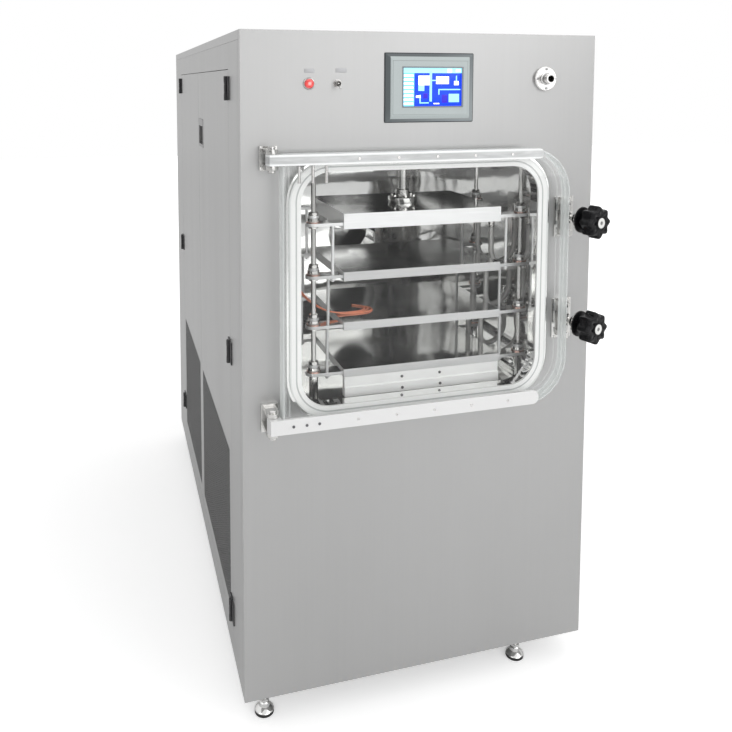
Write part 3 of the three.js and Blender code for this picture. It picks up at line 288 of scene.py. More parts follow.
    def make(self, name, finishes, smooth=35.0):
        """The mesh object, at the origin, with its finishes in slot order and sharp edges over an angle."""
        points = metres(np.concatenate(self.points))
        quads, slots, maps = (np.concatenate(a) for a in (self.faces, self.slots, self.maps))
        _, first, back = np.unique(np.round(points / 2e-6).astype(np.int64), axis=0, return_index=True,
                                   return_inverse=True)
        points, quads = points[first], back.reshape(-1)[quads]
        sides = np.stack([quads[:, i] != quads[:, (i + 1) % 4] for i in range(4)], 1)
        good = (sides.sum(1) >= 3) & (quads[:, 0] != quads[:, 2]) & (quads[:, 1] != quads[:, 3])
        quads, sides, slots, maps = quads[good], sides[good], slots[good], maps[good]
        corners = sides.sum(1)
        used, back = np.unique(quads[sides], return_inverse=True)
        mesh = bpy.data.meshes.new(name)
        mesh.vertices.add(len(used))
        mesh.vertices.foreach_set("co", points[used].astype(np.float32).ravel())
        mesh.loops.add(len(back))
        mesh.loops.foreach_set("vertex_index", back.astype(np.int32))
        mesh.polygons.add(len(quads))
        mesh.polygons.foreach_set("loop_start", np.concatenate([[0], np.cumsum(corners)[:-1]]).astype(np.int32))
        mesh.polygons.foreach_set("loop_total", corners.astype(np.int32))
        mesh.polygons.foreach_set("material_index", slots.astype(np.int32))
        mesh.uv_layers.new(name="UVMap").data.foreach_set("uv", maps[sides].astype(np.float32).ravel())
        mesh.update(calc_edges=True)
        mesh.validate()
        mesh.shade_smooth()
        mesh.set_sharp_from_angle(angle=math.radians(smooth))
        for f in finishes:
            mesh.materials.append(f)
        obj = bpy.data.objects.new(name, mesh)
        bpy.context.scene.collection.objects.link(obj)
        return obj


def settle(obj, body, slot, *nodes):
    """The piece rides on a body and stands for CAD nodes, which it hides. slot is not used."""
    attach(obj, body)
    if nodes:
        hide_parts(*nodes)
    return obj


# ---------------------------------------------------------------- finishes

class Wire:
    """A node's output that takes part in sums."""

    def __init__(self, paint, socket):
        self.paint, self.socket = paint, socket

    def math(self, operation, *others, first=None):
        values = [self, *others] if first is None else [first, self]
        return self.paint.node("Math", {"operation": operation}, {i: v for i, v in enumerate(values)})

    def __add__(self, o): return self.math("ADD", o)
    __radd__ = __add__
    def __mul__(self, o): return self.math("MULTIPLY", o)
    __rmul__ = __mul__
    def __sub__(self, o): return self.math("SUBTRACT", o)
    def __rsub__(self, o): return self.math("SUBTRACT", first=o)
    def __truediv__(self, o): return self.math("DIVIDE", o)
    def __pow__(self, o): return self.math("POWER", o)
    def __gt__(self, o): return self.math("GREATER_THAN", o)
    def __lt__(self, o): return self.math("LESS_THAN", o)
    def __abs__(self): return self.math("ABSOLUTE")
    def most(self, o): return self.math("MAXIMUM", o)
    def least(self, o): return self.math("MINIMUM", o)
    def fract(self): return self.math("FRACT")

    def step(self, low, high):
        """0 below low, 1 above high, straight between."""
        return self.paint.node("MapRange", {}, {"Value": self, "From Min": low, "From Max": high})


class Paint:
    """One material: its principled shader, and nodes that lead to it."""

    def __init__(self, name, **uniform):
        self.material = bpy.data.materials.new(name)
        self.material.use_nodes = True
        self.tree = self.material.node_tree
        self.shader = self.tree.nodes["Principled BSDF"]
        self.out = self.tree.nodes["Material Output"]
        for key, value in uniform.items():
            self.shader.inputs[key.replace("_", " ").title().replace("Ior", "IOR")].default_value = value

    @classmethod
    def of(cls, tree):
        """The same calls on another shader tree, such as the world's."""
        paint = cls.__new__(cls)
        paint.tree = tree
        return paint

    def node(self, kind, settings, inputs, output=0):
        """A node of that type. Its settings come first, and stops are a ramp's (place, colour) pairs."""
        n = self.tree.nodes.new("ShaderNode" + kind)
        for key, value in settings.items():
            if key == "stops":
                while len(n.color_ramp.elements) < len(value):
                    n.color_ramp.elements.new(0.5)
                for e, (place, colour) in zip(n.color_ramp.elements, value):
                    e.position, e.color = place, (*colour, 1)
            else:
                setattr(n, key, value)
        for key, value in inputs.items():
            socket = n.inputs[key]
            if isinstance(value, Wire):
                self.tree.links.new(value.socket, socket)
            else:
                socket.default_value = value
        return Wire(self, n.outputs[output])

    def feed(self, **sockets):
        for key, wire in sockets.items():
            self.tree.links.new(wire.socket, self.shader.inputs[key.replace("_", " ").title()])
        return self

    def place(self, scale=(1, 1, 1), turn=(0, 0, 0), move=(0, 0, 0)):
        """Object coordinates, moved, turned and scaled."""
        here = self.node("TexCoord", {}, {}, "Object")
        return self.node("Mapping", {}, {"Vector": here, "Location": move, "Rotation": turn, "Scale": scale})

    def here(self):
        """The three object coordinates, apart."""
        return self.split(self.node("TexCoord", {}, {}, "Object"))

    def rays(self, *kinds):
        """For each kind of ray: 1 where the ray is of that kind."""
        return [self.node("LightPath", {}, {}, "Is %s Ray" % kind) for kind in kinds]

    def shade(self, factor, colour, dark, light):
        """The colour times dark at factor 0, and times light at 1."""
        return self.mix(factor, [c * dark for c in colour], [min(1, c * light) for c in colour])

    def split(self, vector):
        n = self.tree.nodes.new("ShaderNodeSeparateXYZ")
        self.tree.links.new(vector.socket, n.inputs[0])
        return [Wire(self, n.outputs[i]) for i in range(3)]

    def noise(self, vector, scale, detail=3.0, roughness=0.5, distortion=0.0):
        return self.node("TexNoise", {}, {"Vector": vector, "Scale": scale, "Detail": detail, "Roughness": roughness,
                                          "Distortion": distortion})

    def mix(self, factor, a, b):
        """Colour a at 0, colour b at 1."""
        a, b = (v if isinstance(v, Wire) else (*v, 1) for v in (a, b))
        return self.node("Mix", {"data_type": "RGBA"}, {0: factor, 6: a, 7: b}, 2)

    def bump(self, height, distance, strength=1.0, normal=None):
        extra = {"Normal": normal} if normal else {}
        return self.node("Bump", {}, {"Height": height, "Distance": distance, "Strength": strength, **extra})


def stretched(across, lengthwise, along):
    """Scale of a noise that runs long along one axis."""
    scale = [across] * 3
    scale[along] = lengthwise
    return scale


def brushed(name, colour, roughness, along, grain=1.0, metallic=1.0, bands=0.06, black_past=None):
    """Sheet ground in one direction: long thin noise along the grinding, fine specks, broad soft bands and slow clouds.
    What stands out past a plane on the left side, as hinge knuckles do, is enamelled black."""
    p = Paint(name, metallic=metallic)
    stretch = stretched(900.0, 9.0, along)
    lines = p.noise(p.place(stretch), 1.0, 2.0, 0.6)
    streaks = p.noise(p.place([s * 0.16 for s in stretch]), 1.0, 2.0, 0.5)
    specks = p.noise(p.place(), 1500.0, 1.0, 0.5)
    clouds = p.noise(p.place(stretched(2.6, 0.9, along)), 1.0, 4.0, 0.6)
    broad = p.noise(p.place(stretched(9.0, 0.7, along)), 1.0, 3.0, 0.6)
    tone = (broad - 0.5) * bands + (lines - 0.5) * (0.06 * grain) + (streaks - 0.5) * (0.05 * grain)
    tone = tone + (specks - 0.5) * 0.06 + (clouds - 0.5) * 0.22
    sheet = p.shade(tone + 0.5, colour, 0.72, 1.28)
    if black_past is not None:
        bare = p.here()[0] > black_past
        sheet = p.mix(bare, (0.022, 0.022, 0.024), sheet)
        p.feed(metallic=bare * metallic)
    p.feed(
        base_color=sheet,
        roughness=(lines - 0.5) * 0.10 * grain + (clouds - 0.5) * 0.10 + roughness,
        normal=p.bump(lines + streaks, 0.00006, 0.35 * grain),
    )
    return p.material


def polished(name, colour, roughness=0.07, wave=1.0, scale=9.0):
    """Mirror sheet: slow waves left by rolling and welding, a faint haze, and hairline wipes."""
    p = Paint(name, metallic=1.0)
    waves = p.noise(p.place((1, 1, 1.6)), scale, 2.0, 0.4)
    haze = p.noise(p.place(), 14.0, 3.0, 0.6)
    wipes = p.noise(p.place((40, 40, 700)), 1.0, 2.0, 0.6)
    p.feed(
        base_color=p.shade(haze, colour, 0.9, 1.08),
        roughness=haze.step(0.35, 0.75) * 0.07 + (wipes - 0.5) * 0.03 + roughness,
        normal=p.bump(waves, 0.002 * wave, 0.6),
    )
    return p.material


def turned_steel(name, colour, roughness=0.2, grain=1.0):
    """Turned or milled bright steel: fine tool rings and a little handling haze."""
    p = Paint(name, metallic=1.0)
    rings = p.noise(p.place((60, 60, 1500)), 1.0, 2.0, 0.5)
    haze = p.noise(p.place(), 60.0, 3.0, 0.6)
    p.feed(
        base_color=p.shade(haze, colour, 0.88, 1.07),
        roughness=(haze - 0.5) * 0.12 + (rings - 0.5) * 0.06 * grain + roughness,
        normal=p.bump(rings, 0.00003, 0.3 * grain),
    )
    return p.material


def moulded(name, colour, roughness=0.35, grain=400.0, depth=0.00004, coat=0.0, wear=0.06, shine=0.5):
    """Moulded plastic or enamel: fine orange peel, slow tone clouds and rubbed spots."""
    p = Paint(name, metallic=0.0, coat_weight=coat, coat_roughness=0.12, specular_ior_level=shine)
    peel = p.noise(p.place(), grain, 2.0, 0.5)
    clouds = p.noise(p.place(), 22.0, 3.0, 0.6)
    p.feed(
        base_color=p.mix(clouds, [c * (1 - wear) for c in colour], 
                         [min(1, c * (1 + wear) + wear * 0.02) for c in colour]),
        roughness=(clouds - 0.5) * 0.16 + (peel - 0.5) * 0.05 + roughness,
        normal=p.bump(peel, depth, 0.5),
    )
    return p.material


def inside(x, z, low, high, radius):
    """Distance inward from the outline of a rounded rectangle in (x, z)."""
    middle, half = (low + high) / 2, (high - low) / 2
    across, up = abs(x - middle.x) + radius - half.x, abs(z - middle.z) + radius - half.z
    return (across.most(up).least(0.0) + (across.most(0.0) ** 2 + up.most(0.0) ** 2) ** 0.5) * -1.0 + radius


def seal_finish_and_shade():
    """White silicone, with painted shade: a fine grey line that follows its outline where the seal is grooved, and a
    darker rim along its outer edge.
    """
    p = Paint("door seal", metallic=0.0)
    x, _, z = p.here()
    low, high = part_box("door_gasket")
    gap = inside(x, z, low, high, 0.097)
    # painted shade: a fine grey line where the seal is grooved
    groove_shade = (abs(gap - 0.0155) * -1.0).step(-0.0022, -0.0012)
    # foot is painted shade: the seal's outer edge darkened where it meets the panel
    foot = (gap * -1.0).step(-0.0045, -0.0015)
    p.feed(base_color=p.mix(groove_shade * 0.75 + foot * 0.35, (0.94, 0.94, 0.93), (0.42, 0.43, 0.43)),
           roughness=p.noise(p.place(), 500.0, 2.0) * 0.2 + 0.4)
    return p.material


def top_bar_finish_and_highlights():
    """Bar with painted highlights: pale strips along its top and bottom edges, and a greyer streaked band along its
    middle.
    """
    p = Paint("top bar", metallic=0.3)
    _, _, z = p.here()
    low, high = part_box("door_bar_top")
    # rim marks the painted highlights along the bar's top and bottom edges
    rim = (abs(z - (low.z + high.z) / 2) / ((high.z - low.z) / 2)).step(0.55, 0.75)
    streaks = p.noise(p.place((9, 60, 60)), 1.0, 3.0, 0.6)
    tone = p.mix(streaks.step(0.35, 0.65), (0.50, 0.51, 0.51), (0.70, 0.71, 0.71))
    p.feed(base_color=p.mix(rim, tone, (0.90, 0.91, 0.91)), roughness=streaks * 0.2 + 0.22)
    return p.material


def clear_sheet(name, edge_tone, body_tone, depth_axis=1):
    """Clear cast sheet: the faces let light straight through and mirror by their Fresnel share, and the sawn edges
    scatter it. The faces are told from the edges by the surface's own direction along the sheet's thickness. Two
    pale lines along the outline on the faces are painted highlights, standing for light caught at the edge."""
    p = Paint(name, metallic=0.0, ior=1.49, transmission_weight=0.0)
    normal = p.node("TexCoord", {}, {}, "Normal")
    facing = abs(p.split(normal)[depth_axis])
    x, _, z = p.here()
    low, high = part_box("acrylic_door")
    gap = inside(x, z, low, high, (x > (low.x + high.x) / 2) * 0.105 + 0.005)
    # lines are painted highlights along the outline, where the faces are made milky
    lines = (gap * -1.0).step(-0.0055, -0.0035) * 0.55 + (abs(gap - 0.0145) * -1.0).step(-0.0022, -0.0010) * 0.30
    face = facing.step(0.8, 0.97) * (1.0 - lines)
    smear = p.noise(p.place(), 7.0, 3.0, 0.6)
    p.feed(base_color=p.mix(p.noise(p.place((1, 1, 4)), 30.0, 2.0), edge_tone, body_tone),
           roughness=smear.step(0.45, 0.8) * 0.05 + 0.02)
    clear = p.node("BsdfTransparent", {}, {"Color": (0.992, 0.995, 0.994, 1)})
    front = 1.0 - p.node("NewGeometry", {}, {}, "Backfacing")  # unbent light would never leave by the back
    fresnel = p.node("Fresnel", {}, {"IOR": 1.49}) * front
    gloss = p.node("BsdfGlossy", {}, {"Color": (1, 1, 1, 1), "Roughness": 0.02})
    sheet = p.node("MixShader", {}, {0: fresnel, 1: clear, 2: gloss})
    shader = Wire(p, p.shader.outputs[0])
    milky = p.node("MixShader", {}, {0: 0.7, 1: clear, 2: shader})
    whole = p.node("MixShader", {}, {0: face, 1: milky, 2: sheet})
    p.tree.links.new(whole.socket, p.out.inputs["Surface"])
    return p.material


def braid(name, colour, pitch=0.009, strands=8.0):
    """Woven wire sleeve: two crossed screw lines of strands, from the tube's own length and turn."""
    p = Paint(name, metallic=0.6)
    turn, along = p.split(p.node("UVMap", {}, {}))[:2]
    left = ((along / pitch + turn) * strands).fract()
    right = ((along / pitch - turn) * strands).fract()
    weave = abs(left - 0.5).most(abs(right - 0.5)) * 2.0
    p.feed(
        base_color=p.mix(weave.step(0.35, 1.0), [c * 0.5 for c in colour], colour),
        roughness=weave * -0.15 + 0.42,
        normal=p.bump(weave, 0.0004, 0.8),
    )
    return p.material


def plate_finish(name, edge):
    """Shelf plate: polished faces above and below, and a duller ground rim, told apart by the surface's direction."""
    p = Paint(name, metallic=1.0)
    face = abs(p.split(p.node("TexCoord", {}, {}, "Normal"))[2]).step(0.55, 0.85)
    lines = p.noise(p.place((9, 900, 900)), 1.0, 2.0, 0.6)
    haze = p.noise(p.place(), 9.0, 3.0, 0.6)
    p.feed(
        base_color=p.mix(face, p.mix(lines, [c * 0.85 for c in edge], [c * 1.15 for c in edge]),
                         p.mix(haze, (0.74, 0.74, 0.73), (0.88, 0.88, 0.87))),
        metallic=face * 0.55 + 0.45,
        roughness=(lines - 0.5) * 0.06 + haze.step(0.35, 0.75) * 0.06 + 0.3 - face * 0.22,
        normal=p.bump(lines, 0.00004, 0.3),
    )
    return p.material


def bezel_finish_and_shade():
    """Grey-green moulded frame with painted light and shade: its sloping outer band dark, darker towards the upper left
    and lighter towards the lower right, and a fine dark line of painted shade round the window where it is grooved.
    """
    low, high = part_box("hmi_bezel")
    p = Paint("bezel", metallic=0.0)
    x, _, z = p.here()
    middle, half = (low + high) / 2, (high - low) / 2
    across, up = abs(x - middle.x) - half.x, abs(z - middle.z) - half.z
    out = across.most(up)
    band = across.step(-0.0112, -0.0104).most(up.step(-0.0072, -0.0064))
    # lit is painted light and shade: the band lighter towards the lower right, darker towards the upper left
    lit = (x - z - (middle.x - middle.z)).step(-0.06, 0.16)
    # painted shade: a fine dark line round the window where the frame is grooved
    groove_shade = (abs(out + 0.0165) < 0.0006) * 0.5
    grain = p.noise(p.place(), 600.0, 2.0)
    body = p.mix(grain, (0.42, 0.47, 0.47), (0.50, 0.55, 0.55))
    p.feed(base_color=p.mix(band.most(groove_shade), body, p.mix(lit, (0.10, 0.115, 0.12), (0.30, 0.33, 0.34))),
           roughness=(grain - 0.5) * 0.1 + 0.4, normal=p.bump(grain, 0.00005, 0.5))
    return p.material


# ---------------------------------------------------------------- settings

def sized(name, mm, about):
    return FloatProperty(name=name, description=about, default=mm * MM, min=0.0, subtype="DISTANCE", unit="LENGTH")


def coloured(name, colour, about):
    return FloatVectorProperty(name=name, description=about, default=colour, min=0.0, max=1.0, size=3, subtype="COLOR")


class DryerFinishes(PropertyGroup):
    steel: coloured("Satin steel", (0.48, 0.48, 0.478), "Colour of the ground stainless sheet")
    steel_roughness: FloatProperty(name="Satin roughness", description="Roughness of the ground sheet", default=0.38)
    steel_metallic: FloatProperty(name="Satin metallic", description="Share of the ground sheet that mirrors",
                                  default=0.80)
    mirror: coloured("Polished steel", (0.90, 0.90, 0.89), "Colour of the chamber's polished sheet")
    edge: sized("Sheet edge", 0.8, "Radius of a bent or deburred sheet edge")


class DryerStage(PropertyGroup):
    camera_at: FloatVectorProperty(name="Camera", description="Where the camera stands, in the row frame",
                                   default=(-0.7259, -2.4200, 1.5300), subtype="TRANSLATION", unit="LENGTH")
    heading: FloatProperty(name="Heading", description="Turn of the level view from the row's depth axis",
                           default=math.radians(15.609), subtype="ANGLE", unit="ROTATION")
    pitch: FloatProperty(name="Pitch", description="How far the view looks down", default=math.radians(4.573),
                         subtype="ANGLE", unit="ROTATION")
    lens: FloatProperty(name="Lens", description="Focal length on a 36 mm sensor", default=37.71)
    shift: FloatVectorProperty(name="Shift", description="Lens shift, as shares of the picture",
                               default=(0.0602, -0.3019),
                               size=2)
    key: FloatProperty(name="Key light", description="Watts of the large soft light at the front right", default=32.0)
    fill: FloatProperty(name="Fill light", description="Watts of the soft light at the front left", default=9.0)
    front: FloatProperty(name="Front light", description="Watts of the soft light that looks into the chamber",
                         default=38.0)
    top: FloatProperty(name="Top light", description="Watts of the light overhead", default=30.0)
    ambient: FloatProperty(name="Ambient", description="Strength of the sky for diffuse light", default=0.66)
    dark: FloatProperty(name="Dark side", description="How much darker the room is in front of the machine, in mirrors",
                        default=0.93)
    floor_lift: FloatVectorProperty(name="Floor lift",
                                    description="Glow of the floor for the camera and mirrors: near, far",
                                    default=(0.42, 0.72), size=2)


# ---------------------------------------------------------------- pieces' helpers

def soften(node, width, segments=2, angle=60):
    """Rounds a CAD node's sharp edges, so that they catch light."""
    obj = NODES[node]
    weld = obj.modifiers.new("Weld", "WELD")
    weld.merge_threshold = 1e-6
    bevel = obj.modifiers.new("Bevel", "BEVEL")
    bevel.width, bevel.segments, bevel.limit_method = width * MM, segments, "ANGLE"
    bevel.angle_limit = math.radians(angle)
    bevel.use_clamp_overlap = False
    weighted = obj.modifiers.new("Weighted normal", "WEIGHTED_NORMAL")
    weighted.weight, weighted.mode = 100, "FACE_AREA"
    obj.data.polygons.foreach_set("use_smooth", [True] * len(obj.data.polygons))
    obj.data.update()


def paint_node(node, material):
    obj = NODES[node]
    obj.data.materials.clear()
    obj.data.materials.append(material)


class FREEZE_DRYER_OT_finishes(Operator):
    """Give every CAD node its finish and soften the edges of the sheet metal"""
    bl_idname = "freeze_dryer.finishes"
    bl_label = "Finishes"

    def execute(self, context):
        s = context.scene.dryer_finishes
        steel, mirror = tuple(s.steel), tuple(s.mirror)
        satin = brushed("satin steel", steel, s.steel_roughness, 2, 1.0, s.steel_metallic)
        flat = brushed("satin steel, ground across", steel, s.steel_roughness, 0, 1.0, s.steel_metallic)
        kinds = {
            "satin_stainless": satin,
            "frame_steel": brushed("frame steel", [c * 0.86 for c in steel], 0.45, 0, 0.6, 0.7),
            "bright_steel": turned_steel("bright steel", (0.66, 0.655, 0.64), 0.16),
            "polished_stainless": polished("polished steel", mirror, 0.05, 1.5, 7.0),
            "white_silicone": moulded("white silicone", (0.94, 0.94, 0.93), 0.5, 500.0),
            "clear_acrylic": clear_sheet("clear acrylic", (0.86, 0.91, 0.90), (0.97, 0.99, 0.98)),
            "black_plastic": moulded("black plastic", (0.016, 0.016, 0.018), 0.22, 260.0, coat=0.5),
            "black_hinge": moulded("black hinge enamel", (0.022, 0.022, 0.024), 0.38, 700.0, 0.00005),
            "white_rail": moulded("white rail", (0.93, 0.93, 0.92), 0.42, 300.0),
            "braided_hose": braid("braided steel", (0.55, 0.54, 0.52)),
            "orange_lead": moulded("orange lead", (0.80, 0.10, 0.03), 0.4, 900.0),
            "grey_bezel": moulded("grey bezel", (0.42, 0.43, 0.44), 0.4, 600.0),
            "screen": moulded("screen glass", (0.03, 0.05, 0.09), 0.12, 50.0),
            "red_lens": moulded("red lens", (0.62, 0.02, 0.03), 0.12, 120.0, coat=0.6),
            "dark_nickel": turned_steel("dark nickel", (0.30, 0.29, 0.28), 0.25),
            "compressor_black": moulded("compressor enamel", (0.03, 0.03, 0.032), 0.45),
            "fin_aluminium": brushed("fin aluminium", (0.7, 0.71, 0.72), 0.4, 2, 0.5),
        }
        for part in frame["record"]["subparts"]:
            paint_node(part["node"], kinds[part["material_slot"]])
        for name in ("top_cover", "base_frame"):
            paint_node(name, flat)
        side = [brushed("side sheet", [c * 0.96 for c in steel], s.steel_roughness, 2, 1.0, s.steel_metallic, 0.30,
                        past) for past in (None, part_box("top_cover")[0].x - 0.0006)]
        for name in ("left_front_door", "left_rear_door"):
            paint_node(name, side[0])
        paint_node("left_side_frame", side[1])
        paint_node("top_shelf", plate_finish("press plate", (0.96, 0.96, 0.96)))
        plate = plate_finish("shelf plate", (0.62, 0.62, 0.62))
        for name in ("shelf_2", "shelf_3", "bottom_shelf"):
            paint_node(name, plate)
        bar = brushed("door bar", (0.82, 0.82, 0.815), 0.33, 0, 0.5, 0.3)
        paint_node("door_bar_bottom", bar)
        paint_node("door_bar_top", top_bar_finish_and_highlights())
        paint_node("door_gasket", seal_finish_and_shade())
        paint_node("hmi_bezel", bezel_finish_and_shade())
        paint_node("flush_pull", brushed("flush pull", (0.30, 0.30, 0.30), 0.35, 2, 0.6, 0.9))
        paint_node("vent_port", turned_steel("port steel", (0.80, 0.79, 0.78), 0.24))
        edge = s.edge / MM
        for name in ("front_panel", "top_cover", "right_side_panel", "rear_panel", "base_frame", "left_front_door",
                     "left_rear_door", "flush_pull"):
            soften(name, edge)
        soften("left_side_frame", 0.15)  # its hinge knuckles run 0.2 mm from the doors' own
        for name in ("door_bar_top", "door_bar_bottom", "hinge_bracket_top", "hinge_bracket_bottom",
                     "clamp_bracket_upper",
                     "clamp_bracket_lower", "acrylic_door", "top_shelf", "shelf_2", "shelf_3", "bottom_shelf",
                     "press_ram",
                     "tray_rail", "hose_manifold"):
            soften(name, 0.5)
        return {"FINISHED"}


# ---------------------------------------------------------------- controls

def band(rings, low, high):
    """Ring round a window: each outline stands that far outside the window, at that depth."""
    outlines = [(rounded_rect(low[0] - by, high[0] + by, low[2] - by, high[2] + by, 3.0, 4), y) for by, y in rings]
    return np.stack([np.column_stack([o[:, 0], np.full(len(o), y), o[:, 1]]) for o, y in outlines], 1)


class DryerControls(PropertyGroup):
    glow: FloatProperty(name="Screen glow", description="Strength of the lit screen", default=0.9)
    lens: coloured("Lens", (0.75, 0.02, 0.025), "Colour of the lamp's lens")


def lit(name, colour, strength):
    """Lit part of a display behind smooth glass."""
    p = Paint(name, metallic=0.0, roughness=0.15, emission_strength=strength, specular_ior_level=0.2)
    grain = p.noise(p.place(), 900.0, 1.0)
    tone = p.shade(grain, colour, 0.94, 1.05)
    return p.feed(base_color=tone, emission_color=tone).material


def flat_tone(name, colour, roughness=0.4, metallic=0.0):
    """Printed, anodised or painted small part: an even tone with fine grain."""
    p = Paint(name, metallic=metallic)
    grain = p.noise(p.place(), 700.0, 2.0)
    p.feed(base_color=p.shade(grain, colour, 0.9, 1.08),
           roughness=(grain - 0.5) * 0.1 + roughness)
    return p.material


# what the screen shows, as shares of its width and height: a heading, a column of keys, and a plain flow diagram
SCREEN = [
    (0, 1, 0.87, 1, "cyan"), (0, 0.19, 0, 0.87, "pale"), (0.2, 1, 0, 0.86, "blue"),
    *[(0.015, 0.175, 0.035 + k * 0.105, 0.095 + k * 0.105, "white") for k in range(8)],
    (0.45, 0.49, 0.12, 0.92, "sky"), (0.26, 0.45, 0.55, 0.80, "white"), (0.56, 0.78, 0.58, 0.78, "white"),
    (0.26, 0.36, 0.40, 0.55, "sky"), (0.49, 0.56, 0.66, 0.69, "sky"), (0.87, 0.95, 0.55, 0.66, "white"),
    (0.9, 0.92, 0.66, 0.8, "sky"), (0.6, 0.98, 0.42, 0.45, "sky"), (0.6, 0.62, 0.3, 0.44, "sky"),
    (0.66, 0.76, 0.08, 0.3, "navy"), (0.78, 0.96, 0.1, 0.32, "sky"), (0.28, 0.44, 0.07, 0.1, "sky"),
    (0.28, 0.3, 0.1, 0.3, "sky"), (0.22, 0.3, 0.22, 0.28, "white"), (0.34, 0.42, 0.2, 0.34, "navy"),
    (0.52, 0.62, 0.05, 0.08, "white"), (0.75, 0.83, 0.88, 0.98, "white"), (0.9, 0.98, 0.9, 0.97, "white"),
]


class FREEZE_DRYER_OT_controls(Operator):
    """Screen picture, lamp lens, toggle nut and bare label plates on the top band"""
    bl_idname = "freeze_dryer.controls"
    bl_label = "Controls"

    def execute(self, context):
        s = context.scene.dryer_controls
        low, high = box_mm("hmi_screen")
        names = {"cyan": (0.35, 0.85, 1.0), "pale": (0.16, 0.66, 0.93), "blue": (0.01, 0.05, 0.80), "white": (1, 1, 1),
                 "sky": (0.30, 0.66, 1.0), "navy": (0.03, 0.02, 0.42)}
        picture, keys = Skin(), list(names)
        for i, (x0, x1, z0, z1, key) in enumerate(SCREEN):
            at = [low[0] + (high[0] - low[0]) * np.array([x0, x1]), low[2] + (high[2] - low[2]) * np.array([z0, z1])]
            front = low[1] - 0.12 - 0.012 * (i % 9) - (0.1 if key not in ("cyan", "pale", "blue") else 0)
            picture.block((at[0][0], front, at[1][0]), (at[0][1], low[1] - 0.02, at[1][1]), 0.4, "y", 0.02,
                          keys.index(key), 3)
        settle(picture.make("screen_picture", [lit("screen " + k, names[k], s.glow) for k in keys]), "cabinet",
               "screen")

        rim = Skin()
        outer = rounded_rect(low[0] - 3.2, high[0] + 3.2, low[2] - 3.2, high[2] + 3.2, 2.0, 4)
        inner = rounded_rect(low[0] + 0.2, high[0] - 0.2, low[2] + 0.2, high[2] - 0.2, 1.0, 4)
        bezel_low, bezel_high = box_mm("hmi_bezel")
        ring = [(outer, 0.4), (outer, -0.5), (inner, -0.7), (inner, 0.4)]
        rim.grid(np.stack([np.column_stack([o[:, 0], np.full(len(o), bezel_low[1] + y), o[:, 1]]) for o, y in ring], 1),
                 wrap_u=True, wrap_v=True)
        settle(rim.make("screen_rim", [flat_tone("screen rim", (0.22, 0.25, 0.28), 0.35)]), "cabinet", "grey_bezel")

        seat = Skin()
        seat.grid(band([(2.2, -0.1), (2.2, -1.3), (-1.5, -1.9), (-1.5, -0.1)], bezel_low, bezel_high), wrap_u=True,
                  wrap_v=True)
        settle(seat.make("bezel_gasket", [flat_tone("bezel gasket", (0.035, 0.04, 0.045), 0.5)]), "cabinet",
               "grey_bezel")

        low, high = box_mm("indicator_lamp")
        middle = ((low[0] + high[0]) / 2, 0, (low[2] + high[2]) / 2)
        lamp = Skin()
        lamp.lathe([(0, 0.3), (14, 0.3), (14, 1.6), (13.2, 2.6), (11.6, 2.9), (10.8, 2.0), (0, 2.0)], middle, OUT, 48)
        t = np.linspace(0, 2 * math.pi, 64, endpoint=False)
        facet = 10.2 + 0.25 * np.abs(np.cos(8 * t))
        lamp.rings([(0, 1.0), (facet, 1.0), (facet, 5.2), (facet * 0.93, 6.6), (facet * 0.72, 7.9), (facet * 0.4, 8.7),
                    (0, 9.0)], middle, OUT, t, 1)
        lens = Paint("lamp lens", metallic=0.0, roughness=0.08, coat_weight=0.8, emission_strength=0.25)
        depth = lens.noise(lens.place(), 220.0, 2.0, 0.6)
        low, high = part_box("indicator_lamp")
        x, _, z = lens.here()
        out = ((x - (low.x + high.x) / 2) ** 2 + (z - (low.z + high.z) / 2) ** 2) ** 0.5
        # glow is a painted highlight: the lens's middle painted pale pink, which the lens's faint emission also carries
        glow = (out * -1.0).step(-0.0055, -0.0010) * 0.8
        tone = lens.mix(glow, lens.mix(depth.step(0.3, 0.7), [c * 0.75 for c in s.lens], (0.95, 0.10, 0.09)),
                        (1.0, 0.55, 0.52))
        lens.feed(base_color=tone, emission_color=tone)
        settle(lamp.make("lamp", [turned_steel("lamp ring", (0.5, 0.49, 0.48), 0.22), lens.material]), "cabinet",
               "red_lens",
               "indicator_lamp")

        low, high = box_mm("toggle_bushing")
        middle = np.array([(low[0] + high[0]) / 2, 0, (low[2] + high[2]) / 2])
        nut = Skin()
        nut.lathe(washer(6.4, 10.2, 0.3, 1.2), middle, OUT, 32)
        nut.nut(middle + (0, -1.2, 0), OUT, 8.6, 3.0, hole=6.2)
        settle(nut.make("toggle_nut", [turned_steel("toggle nickel", (0.62, 0.61, 0.60), 0.2)]), "cabinet",
               "dark_nickel")

        plates = Skin()
        for x, z, w, h in ((-290.6, 1484, 24, 10), (-215.8, 1485.5, 26, 10), (310, 1487, 34, 10)):
            plates.block((x - w / 2, -0.7, z - h / 2), (x + w / 2, -0.15, z + h / 2), 1.5, "y", 0.15)
        settle(plates.make("label_plates", [brushed("label plate", (0.44, 0.44, 0.45), 0.4, 0, 0.6, 0.6)]), "cabinet",
               "satin_stainless")
        return {"FINISHED"}


# ---------------------------------------------------------------- clamps

class DryerClamps(PropertyGroup):
    radius: sized("Knob radius", 40, "Out to a lobe's crest")
    dip: sized("Lobe depth", 8, "From a crest down to the valley beside it")
    lobes: IntProperty(name="Lobes", description="Lobes round a star knob", default=8)
    splay: FloatProperty(name="Splay", description="Turn of a clamp bolt from straight out", default=math.radians(18),
                         subtype="ANGLE", unit="ROTATION")


